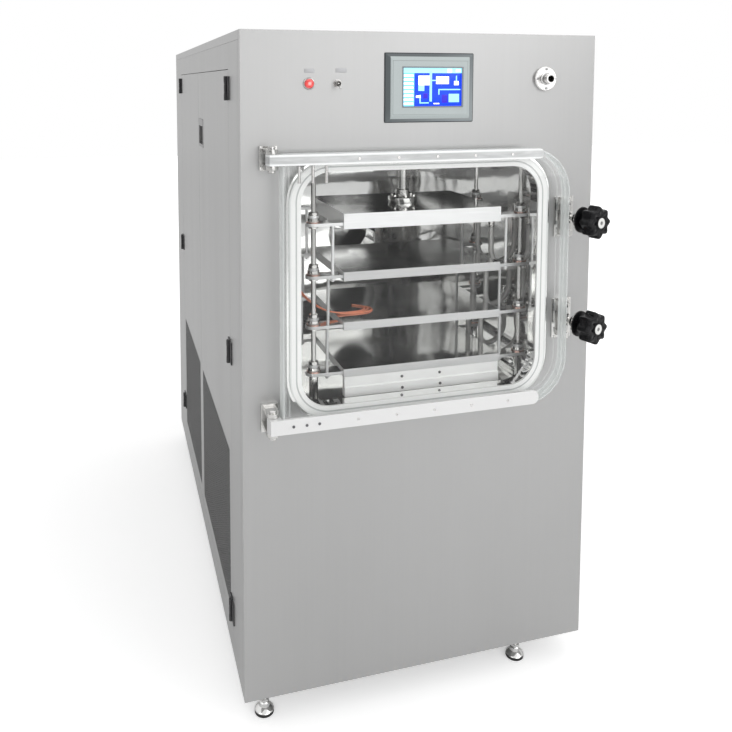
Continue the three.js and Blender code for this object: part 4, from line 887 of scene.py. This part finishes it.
class FREEZE_DRYER_OT_clamps(Operator):
    """Star knobs with their caps and washers, and the threaded swing bolts with their ears' screws"""
    bl_idname = "freeze_dryer.clamps"
    bl_label = "Clamps"

    def execute(self, context):
        s = context.scene.dryer_clamps
        black = moulded("knob plastic", (0.005, 0.005, 0.006), 0.26, 300.0, 0.00003, coat=0.1, shine=0.2)
        cap = moulded("knob cap", (0.80, 0.80, 0.78), 0.3, 500.0)
        insert = turned_steel("knob insert", (0.33, 0.33, 0.33), 0.3)
        steel = turned_steel("clamp steel", (0.70, 0.69, 0.67), 0.14)
        t = np.linspace(0, 2 * math.pi, 30 * s.lobes, endpoint=False)
        lobe = s.radius / MM - s.dip / MM * (0.5 - 0.5 * np.cos(s.lobes * t)) ** 0.85
        for name in ("upper", "lower"):
            low, high = box_mm("clamp_bracket_" + name)
            z = (low[2] + high[2]) / 2
            place = turn_z(math.degrees(s.splay), (SWING_X, SWING_Y, z))
            knob = Skin(place)
            knob.rings([(0, 50.2), (17.2, 50.2), (18, 51), (17.4, 60), (18.5, 64), (lobe * 0.62, 66.2),
                        (lobe * 0.9, 66.4),
                        (lobe * 0.965, 67.8), (lobe * 0.995, 70.5), (lobe, 74), (lobe, 91), (lobe * 0.99, 95),
                        (lobe * 0.955, 98), (lobe * 0.89, 99.6), (lobe * 0.8, 100), (lobe * 0.55, 99.8),
                        (lobe * 0.42 + 4, 98.6),
                        (17.5, 98.2), (15.6, 98.4), (15.2, 100.8), (14.2, 101.6), (0, 101.6)], (0, 0, 0), OUT, t)
            settle(knob.make("star_knob_" + name, [black], 60), "knob_" + name, "black_plastic", "star_knob_" + name)
            trim = Skin(place)
            trim.lathe([(4.6, 101.3), (12.4, 101.3), (12.4, 102.0), (11.4, 102.6), (5.4, 102.6), (4.6, 101.9),
                        (4.6, 101.3)],
                       (0, 0, 0), OUT, 48, 0)
            trim.lathe([(0, 101.4), (4.4, 101.4), (4.4, 101.8), (3.8, 102.1), (0, 102.1)], (0, 0, 0), OUT, 40, 1)
            trim.lathe([(8.2, 44.2), (32, 44.2), (32, 48.2), (31.2, 49.4), (18.6, 50.1), (8.2, 50.1), (8.2, 44.2)],
                       (0, 0, 0),
                       OUT, 64, 3)
            trim.lathe(washer(32.2, 32.9, 45.2, 47.4), (0, 0, 0), OUT, 64, 2)
            trim.lathe([(8.2, 25), (12.4, 25), (13.4, 26), (13.4, 40), (14.6, 44.0), (8.2, 44.0), (8.2, 25)],
                       (0, 0, 0), OUT, 40, 3)
            settle(trim.make("knob_trim_" + name, [cap, insert, steel, black]), "knob_" + name, "black_plastic")

            bolt = Skin(place)
            bolt.thread(lambda a, b, h: (a, -h, b), 6.25, 0.72, 14.5, pitch=2.0, around=24, turns=14, sides=32)
            bolt.prism(circle(13, 48), -13, 13, "z", 1.2)
            bolt.lathe([(0, 10), (8.8, 10), (8.8, 14), (7.6, 15), (0, 15)], (0, 0, 0), OUT, 32)
            settle(bolt.make("swing_bolt_thread_" + name, [steel]), "swing_" + name, "bright_steel")

            ears = Skin()
            for side in (-1, 1):
                ears.nut((SWING_X, SWING_Y, z + side * 42.6), (0, 0, side), 10.5, 5.2, hole=0.0)
                for x in (-18, 18):
                    ears.screw((SWING_X + x, -4.4, z + side * 48.5), OUT, 3.4, 2.0)
            settle(ears.make("clamp_screws_" + name, [steel]), "cabinet", "bright_steel")
        return {"FINISHED"}


# ---------------------------------------------------------------- chamber door

class FREEZE_DRYER_OT_door(Operator):
    """Screws that hold the two bars to the clear door, and the pins' heads at its hinge"""
    bl_idname = "freeze_dryer.door"
    bl_label = "Chamber door"

    def execute(self, context):
        steel = turned_steel("screw steel", (0.72, 0.71, 0.70), 0.13)
        dark = turned_steel("dark screws", (0.16, 0.16, 0.17), 0.3)
        screws = Skin()
        for x in (-346, -315.5, -286, -194, -100, -5.5, 90, 186):
            screws.screw((x, -69.6, 691), OUT, 3.2, 1.6, 1 if x < -280 else 0)
            if x > -280:
                screws.screw((x, -69.6, 1289), OUT, 3.2, 1.6, 0)
        for x in (-331, -300, -269):
            screws.tube([(x, -65.6, 1275), (x, -65.6, 1268), (x, -65.6, 1244), (x, -65.6, 1240)], 3.6, 16)
            screws.screw((x, -65.6, 1240.4), (0, 0, -1), 4.0, 3.0)
        settle(screws.make("door_screws", [steel, dark]), "chamber_door", "bright_steel")

        pins = Skin()
        for node in ("hinge_bracket_top", "hinge_bracket_bottom"):
            low, high = box_mm(node)
            for z, side in ((low[2], -1), (high[2], 1)):
                pins.lathe([(0, -1.5), (8.4, -1.5), (8.4, 1.2), (7.4, 2.2), (4.0, 2.9), (0, 3.0)],
                           (HINGE_X, HINGE_Y, z), (0, 0, side), 32)
                for x in (-13, 13):
                    pins.screw((HINGE_X + x, low[1] + (high[1] - low[1]) - 3.9, z - side * 5.5), OUT, 3.0, 1.8)
        settle(pins.make("hinge_pins", [steel]), "cabinet", "bright_steel")
        return {"FINISHED"}


# ---------------------------------------------------------------- hoses and leads

class DryerHoses(PropertyGroup):
    radius: sized("Hose radius", 7, "Outside of the braid")
    loop: sized("Loop radius", 56, "Half the distance between a hose's two legs")


# casing millimetres: where the hoses hang, and the way that the probe lead takes
HOSE_WALL_X, HOSE_SHELF_X = 350.0, 238.0
SHELF_UNDER = [1108.0, 982.0, 861.0, 745.0]
PROBE_ROUTE = [(-359.4, 150, 1000), (-335, 150, 997), (-300, 146, 965), (-262, 134, 920), (-222, 122, 893),
               (-185, 114, 884.5), (-150, 112, 883), (-118, 118, 883), (-101, 136, 883), (-106, 156, 883),
               (-122, 170, 883)]


def between(t, low, high, a, b):
    """a where t is low, b where it is high, straight between."""
    return (high - t) / (high - low) * a + (t - low) / (high - low) * b


def smooth_path(points, steps=6):
    """Centripetal curve through the points, with that many steps between each two."""
    p = np.asarray(points, float)
    p = np.concatenate([[2 * p[0] - p[1]], p, [2 * p[-1] - p[-2]]])
    k = np.append(0, np.cumsum(np.linalg.norm(np.diff(p, axis=0), axis=1) ** 0.5))
    out = []
    for i in range(1, len(p) - 2):
        t = np.linspace(k[i], k[i + 1], steps, endpoint=False)[:, None]
        a = [between(t, k[i + j], k[i + j + 1], p[i + j], p[i + j + 1]) for j in (-1, 0, 1)]
        b = [between(t, k[i + j], k[i + j + 2], a[j + 1], a[j + 2]) for j in (-1, 0)]
        out.append(between(t, k[i], k[i + 1], *b))
    return np.concatenate([*out, p[-2:-1]])


class FREEZE_DRYER_OT_hoses(Operator):
    """Six braided hoses with their ferrules"""
    bl_idname = "freeze_dryer.hoses"
    bl_label = "Hoses"

    def execute(self, context):
        s = context.scene.dryer_hoses
        sleeve = braid("hose braid", (0.86, 0.85, 0.83))
        ferrule = turned_steel("ferrule steel", (0.72, 0.71, 0.69), 0.16)
        radius, loop = s.radius / MM, s.loop / MM
        middle = (HOSE_WALL_X + HOSE_SHELF_X) / 2
        for i, body in enumerate(("press_plate", "shelf_two", "shelf_three")):
            for kind, first in (("supply", 125.0), ("return", 200.0)):
                y, top = first + 25 * i, SHELF_UNDER[i] - 12.3
                centre = top - 75
                turn = np.linspace(0, math.pi, 33)
                bend = np.column_stack([middle + loop * np.cos(turn), np.full(33, y), centre - loop * np.sin(turn)])
                path = np.concatenate([
                    np.column_stack([np.full(8, HOSE_WALL_X), np.full(8, y), np.linspace(top, centre, 9)[:-1]]), bend,
                    np.column_stack([np.full(8, HOSE_SHELF_X), np.full(8, y), np.linspace(centre, top, 9)[1:]])])
                name = f"hose_shelf_{i + 1}_{kind}"
                hose = Skin().tube(path, radius, 20).make(name + "_braid", [sleeve])
                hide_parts(name)
                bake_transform(hose)
                # the tube's ends are crimped into bright ferrules
                for x, ride in ((HOSE_WALL_X, "cabinet"), (HOSE_SHELF_X, body)):
                    fitting = Skin()
                    fitting.lathe([(0, -0.1), (9.3, -0.1), (9.6, -1.2), (9.6, -5), (8.6, -6.5), (8.6, -13),
                                   (9.0, -14.2),
                                   (8.3, -16), (7.3, -17), (0, -17)], (x, y, top), UP, 28)
                    fitting.nut((x, y, top + 0.2), UP, 11.0, 7.0)
                    end = "wall" if x == HOSE_WALL_X else "shelf"
                    settle(fitting.make(f"{name}_{end}_ferrule", [ferrule]), ride, "bright_steel")
        return {"FINISHED"}


class FREEZE_DRYER_OT_probe(Operator):
    """Three strands of the probe lead over the third shelf. They ride on the cabinet, not on the shelf"""
    bl_idname = "freeze_dryer.probe"
    bl_label = "Probe lead"

    def execute(self, context):
        orange = moulded("probe silicone", (0.98, 0.32, 0.18), 0.38, 900.0, 0.00003)
        # the strands leave the gland side by side and part along the way
        route = np.asarray(PROBE_ROUTE)
        share = np.linspace(0, 1, len(route))[:, None]
        for i, (near, far) in enumerate((((0, 0, 0), (0, 0, 0)), ((0, -4, 0), (10, -9, 0)), ((0, 4, 0), (-9, 7, 0)))):
            path = smooth_path(route + np.asarray(near) * (1 - share) + np.asarray(far) * share)
            lead = Skin().tube(path, 1.5, 14).make("probe_lead_%d" % (i + 1), [orange])
            if i == 0:
                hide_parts("probe_lead")
            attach(lead, "cabinet")
        return {"FINISHED"}


# ---------------------------------------------------------------- casing

class DryerGrilles(PropertyGroup):
    pitch: sized("Pitch", 11, "Between two neighbouring holes")
    hole: sized("Hole", 5.0, "From a hexagonal hole's middle to its corner")


class FREEZE_DRYER_OT_grilles(Operator):
    """Perforated sheets in the recesses of the two service doors, each with a black sheet behind it as painted shade
    seen through the holes
    """
    bl_idname = "freeze_dryer.grilles"
    bl_label = "Grilles"

    def execute(self, context):
        s = context.scene.dryer_grilles
        sheet = brushed("perforated sheet", (0.20, 0.20, 0.20), 0.4, 2, 0.6, 0.85)
        # a black sheet behind the holes stands for the shade inside the door: painted shade
        dark = flat_tone("painted shade backing", (0.015, 0.015, 0.016), 0.8)
        for door, y0, y1 in (("front", 199.0, 766.0), ("rear", 834.0, 1336.0)):
            pitch, hole = s.pitch / MM, s.hole / MM
            z0, z1 = 100.0, 525.0
            low, high = np.array([y0 + 0.4, z0 + 0.4]), np.array([y1 - 0.4, z1 - 0.4])
            rows = np.arange(int((z1 - z0) / (pitch * 0.866)) + 2)
            columns = np.arange(int((y1 - y0) / pitch) + 2)
            j, i = (a.ravel() for a in np.meshgrid(rows, columns, indexing="ij"))
            middle = np.stack([y0 + (i + 0.5 * (j % 2)) * pitch, z0 + j * pitch * 0.866], 1)
            t = np.arange(6) * math.pi / 3 + math.pi / 6
            arm = np.stack([np.cos(t), np.sin(t)], 1)
            tile = np.clip(middle[:, None] + arm * (pitch / math.sqrt(3)), low, high)
            bore = np.clip(middle[:, None] + arm * hole, low + 3.0, high - 3.0)
            ring = [np.concatenate([np.full((*q.shape[:2], 1), h), q], 2) for q, h in
                    ((tile, -449.95), (bore, -449.95), (bore, -449.15), (tile, -449.15))]
            p = np.stack(ring, 2)
            n = len(p)
            quads = []
            for v in range(4):
                u = np.arange(6)
                k = (np.arange(n)[:, None] * 24).astype(int)
                a, b = k + u * 4 + v, k + (u + 1) % 6 * 4 + v
                c, d = k + (u + 1) % 6 * 4 + (v + 1) % 4, k + u * 4 + (v + 1) % 4
                q = np.stack([a, b, c, d], 2)
                if v == 3:
                    one, two = tile, np.roll(tile, -1, 1)
                    rim = ((one == two) & ((one == low) | (one == high))).any(2)
                    q = q[rim]
                quads.append(q.reshape(-1, 4))
            skin = Skin()
            skin.add(p.reshape(-1, 3), np.concatenate(quads))
            # the black backing sheet: painted shade behind the holes
            skin.block((-449.1, y0 + 0.5, z0 + 0.5), (-448.85, y1 - 0.5, z1 - 0.5), 1.0, "x", 0.05, 1)
            settle(skin.make(door + "_grille", [sheet, dark]), door + "_access_door", "satin_stainless")
        return {"FINISHED"}


class FREEZE_DRYER_OT_casing_fittings(Operator):
    """Levelling feet, the screws and fixed leaves of the service doors' hinges, and the vent port's screws"""
    bl_idname = "freeze_dryer.casing_fittings"
    bl_label = "Casing fittings"

    def execute(self, context):
        chrome = turned_steel("foot chrome", (0.78, 0.78, 0.77), 0.08)
        rubber = moulded("foot rubber", (0.02, 0.02, 0.02), 0.6, 500.0)
        for front in ("front", "rear"):
            for side in ("left", "right"):
                node = f"foot_{front}_{side}"
                low, high = box_mm(node)
                at = ((low[0] + high[0]) / 2, (low[1] + high[1]) / 2, 0)
                foot = Skin()
                foot.lathe([(0, -75), (22.4, -75), (23.6, -74), (23.8, -67.4), (0, -67.4)], at, sides=48, slot=1)
                foot.lathe([(0, -67.3), (23.4, -67.3), (23.6, -66.6), (23.0, -65.4), (21, -63.5), (17, -60),
                            (13.4, -57), (12.4, -53),
                            (12.2, -49), (10, -46.4), (0, -46.4)], at, sides=48)
                foot.thread(lambda a, b, h: (at[0] + a, at[1] + b, h), 7.2, 0.75, -47, pitch=2.25, around=16, turns=20,
                            sides=20)
                foot.nut((at[0], at[1], -13.9), UP, 13.9, 10.5)
                foot.nut((at[0], at[1], -44.5), UP, 12.5, 6.0)
                foot.lathe([(0, -3.3), (14, -3.3), (14, -0.4), (0, -0.4)], at, sides=40)
                settle(foot.make(node + "_turned", [chrome, rubber]), "cabinet", "bright_steel", node)

        black = moulded("hinge screw", (0.03, 0.03, 0.032), 0.3, 700.0)
        for door in ("front", "rear"):
            screws = Skin()
            for level in ("top", "middle", "bottom"):
                low, high = box_mm(f"{door}_door_hinge_{level}")
                middle = (low + high) / 2
                for y in (-8.5, 8.5):
                    for z in (-19, 19):
                        screws.screw((-452.9, middle[1] + y, middle[2] + z), (-1, 0, 0), 3.3, 1.5)
            settle(screws.make(door + "_hinge_screws", [black]), "cabinet", "black_hinge")

        leaves = Skin()
        for door, levels, side in (("front", ("top", "middle", "bottom"), -1),
                                   ("rear", ("top", "middle", "bottom"), 1)):
            for level in levels:
                low, high = box_mm(f"{door}_door_hinge_{level}")
                z, y = (low[2] + high[2]) / 2, (low[1] if side < 0 else high[1]) - side * 5.0
                ys = sorted((y + side * 5.4, y + side * 26.4))
                leaves.block((-453.9, ys[0], z - 28.3), (-453.35, ys[1], z + 28.3), 2.0, "x", 0.2)
                for a, b in ((-28.2, -14.4), (14.4, 28.2)):
                    leaves.lathe(washer(5.1, 5.5, a, b), (-455.5, y, z), sides=24)
                    end, cap = (b, b + 1) if b > 20 else (a, a - 1)
                    leaves.lathe([(0, end), (5.3, end), (4.6, cap), (0, cap)], (-455.5, y, z), sides=24)
        settle(leaves.make("fixed_leaf_covers", [black]), "cabinet", "black_hinge")

        port = Skin()
        for k in range(4):
            turn = k * math.pi / 2
            port.screw((PORT_X + 23.5 * math.cos(turn), -8.9, PORT_Z + 23.5 * math.sin(turn)), OUT, 3.0, 1.8)
        port.lathe(washer(12.05, 13.6, 12.2, 15.2), (PORT_X, 0, PORT_Z), OUT, 40)
        settle(port.make("port_screws", [turned_steel("port screws", (0.42, 0.42, 0.42), 0.25)]), "cabinet",
               "bright_steel")
        return {"FINISHED"}


# ---------------------------------------------------------------- shelves

class FREEZE_DRYER_OT_shelf_fittings(Operator):
    """Nuts and washers at the guide rods, the press disc's bolts, and the tray rail's screws"""
    bl_idname = "freeze_dryer.shelf_fittings"
    bl_label = "Shelf fittings"

    def execute(self, context):
        steel = turned_steel("fitting steel", (0.74, 0.73, 0.71), 0.12)
        blush = turned_steel("bronze washer", (0.62, 0.42, 0.36), 0.25)
        lift = {"top_shelf": 8, "shelf_2": 7, "shelf_3": 6, "bottom_shelf": 6}
        body = {"top_shelf": "press_plate", "shelf_2": "shelf_two", "shelf_3": "shelf_three", "bottom_shelf": "cabinet"}
        for (node, up), shelf in zip(lift.items(), SHELF_UNDER):
            fittings = Skin()
            for x in (-263, 291):
                for y in (70, 320):
                    at = np.array((x, y, shelf + up))
                    fittings.lathe(washer(13.2, 17, 8.2, 10.4), at, sides=36, slot=1)
                    fittings.lathe([(13.1, 12), (14.6, 12.6), (14.6, 19), (13.1, 19.6), (13.1, 12)], at, sides=36)
                    fittings.nut(at + (0, 0, 26.2), UP, 12.0, 7.0, hole=6.6)
                    fittings.nut(at + (0, 0, -5.4), UP, 12.0, 5.2, hole=6.6)
            settle(fittings.make(node + "_fittings", [steel, blush]), body[node], "bright_steel")

        low, high = box_mm("press_ram")
        press = Skin()
        for k in range(6):
            turn = k * math.pi / 3 + 0.4
            press.nut((PRESS_X + 29 * math.cos(turn), PRESS_Y + 29 * math.sin(turn), low[2] + 14.1), UP, 5.6, 4.6)
        press.lathe([(11.2, 26.2), (17.5, 26.2), (17.5, 31), (16.5, 32), (11.2, 32), (11.2, 26.2)],
                    (PRESS_X, PRESS_Y, low[2]), sides=40)
        settle(press.make("press_bolts", [steel]), "press_plate", "bright_steel")

        rail = Skin()
        for x in (-43.2, 57.9):
            rail.screw((x, 44.8, 733), OUT, 3.4, 1.8)
            rail.screw((x, 40.9, 706), OUT, 3.4, 1.8)
        settle(rail.make("rail_screws", [flat_tone("rail screw", (0.12, 0.12, 0.12), 0.3, 0.8)]), "cabinet",
               "white_rail")
        return {"FINISHED"}


def area_light(name, place, aim, size, watts):
    data = bpy.data.lights.new(name, "AREA")
    data.shape, data.size, data.size_y, data.energy = "RECTANGLE", size[0], size[1], watts
    lamp = bpy.data.objects.new(name, data)
    lamp.location = place
    lamp.rotation_euler = (Vector(aim) - Vector(place)).to_track_quat("-Z", "Y").to_euler()
    bpy.context.scene.collection.objects.link(lamp)
    return lamp


class FREEZE_DRYER_OT_stage(Operator):
    """Set the floor, the sky, the lights and the camera"""
    bl_idname = "freeze_dryer.stage"
    bl_label = "Stage"

    def execute(self, context):
        s = context.scene.dryer_stage
        scene = context.scene
        scene.view_settings.view_transform = "Standard"
        world = bpy.data.worlds.new("studio")
        scene.world = world
        world.use_nodes = True
        world.node_tree.nodes.clear()
        sky = Paint.of(world.node_tree)
        # a room that is dark in front of the machine, near eye level: only mirrors see that
        x, y, z = sky.split(sky.node("TexCoord", {}, {}, "Generated"))
        level = abs(z - 0.02).step(0.42, 0.12)
        dim = level * ((y * -1.0).step(0.25, 0.70) * (s.dark - 0.45) + y.step(0.25, 0.70) * -0.25 + 0.45)
        kinds = sky.rays("Diffuse", "Glossy")
        strength = 1.0 - kinds[0] * (1.0 - s.ambient) - kinds[1] * dim
        back = sky.node("Background", {}, {"Color": (1, 1, 1, 1), "Strength": strength})
        out = sky.tree.nodes.new("ShaderNodeOutputWorld")
        sky.tree.links.new(back.socket, out.inputs["Surface"])

        far = 14.0
        mesh = bpy.data.meshes.new("floor")
        mesh.from_pydata([(-far, -far, 0), (far, -far, 0), (far, far, 0), (-far, far, 0)], [], [(0, 1, 2, 3)])
        floor = bpy.data.objects.new("floor", mesh)
        scene.collection.objects.link(floor)
        p = Paint("studio floor", metallic=0.0, specular_ior_level=0.0, roughness=0.9)
        dust = p.noise(p.place(), 3.0, 3.0, 0.5)
        p.feed(base_color=p.mix(dust, (0.86, 0.86, 0.86), (0.88, 0.88, 0.88)))
        here = p.node("TexCoord", {}, {}, "Object")
        away = p.node("VectorMath", {"operation": "LENGTH"}, {0: here}, 1).step(1.2, 4.0)
        seen = p.rays("Camera", "Glossy", "Transmission")
        glow = (away * (s.floor_lift[1] - s.floor_lift[0]) + s.floor_lift[0]) * (seen[0].most(seen[2]) + seen[1] * 0.15)
        lift = p.node("Emission", {}, {"Color": (1, 1, 1, 1), "Strength": glow})
        both = p.node("AddShader", {}, {0: Wire(p, p.shader.outputs[0]), 1: lift})
        p.tree.links.new(both.socket, p.out.inputs["Surface"])
        mesh.materials.append(p.material)
        floor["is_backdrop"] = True

        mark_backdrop(area_light("key", (2.6, -3.8, 3.4), (0, -0.4, 0.9), (3.2, 2.6), s.key),
                 area_light("front", (1.1, -4.6, 1.8), (0, 0, 1.0), (4.0, 2.0), s.front),
                 area_light("fill", (-3.6, -2.6, 2.4), (0, 0, 0.8), (2.0, 2.0), s.fill),
                 area_light("overhead", (0.2, -0.6, 4.6), (0, 0, 0), (5.0, 4.0), s.top))

        data = bpy.data.cameras.new("camera")
        data.sensor_width, data.lens = 36.0, s.lens
        data.shift_x, data.shift_y = s.shift
        camera = bpy.data.objects.new("camera", data)
        camera.location = s.camera_at
        camera.rotation_euler = (math.pi / 2 - s.pitch, 0, -s.heading)
        scene.collection.objects.link(camera)
        scene.camera = camera
        return {"FINISHED"}


class FREEZE_DRYER_PT_panel(Panel):
    """Builds the looks piece by piece"""
    bl_idname = "FREEZE_DRYER_PT_panel"
    bl_label = "Freeze dryer"
    bl_space_type = "VIEW_3D"
    bl_region_type = "UI"
    bl_category = "Freeze dryer"

    def draw(self, context):
        for group in SETTINGS:
            settings = getattr(context.scene, group)
            for key in settings.__annotations__:
                self.layout.prop(settings, key)
        for c in OPERATORS:
            self.layout.operator(c.bl_idname)


SETTINGS = {"dryer_finishes": DryerFinishes, "dryer_controls": DryerControls, "dryer_clamps": DryerClamps,
            "dryer_hoses": DryerHoses, "dryer_grilles": DryerGrilles, "dryer_stage": DryerStage}
OPERATORS = [FREEZE_DRYER_OT_finishes, FREEZE_DRYER_OT_controls, FREEZE_DRYER_OT_clamps, FREEZE_DRYER_OT_door,
             FREEZE_DRYER_OT_hoses, FREEZE_DRYER_OT_probe, FREEZE_DRYER_OT_grilles, FREEZE_DRYER_OT_casing_fittings,
             FREEZE_DRYER_OT_shelf_fittings, FREEZE_DRYER_OT_stage]


def register():
    for c in (*SETTINGS.values(), *OPERATORS, FREEZE_DRYER_PT_panel):
        bpy.utils.register_class(c)
    for name, group in SETTINGS.items():
        setattr(bpy.types.Scene, name, PointerProperty(type=group))


def unregister():
    for name in SETTINGS:
        delattr(bpy.types.Scene, name)
    for c in (FREEZE_DRYER_PT_panel, *reversed(OPERATORS), *reversed(SETTINGS.values())):
        bpy.utils.unregister_class(c)


def corners():
    return [list(v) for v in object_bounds()]


def main():
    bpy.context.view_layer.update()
    register()
    for c in OPERATORS:
        category, name = c.bl_idname.split(".")
        getattr(getattr(bpy.ops, category), name)()


if __name__ == "__main__":
    main()
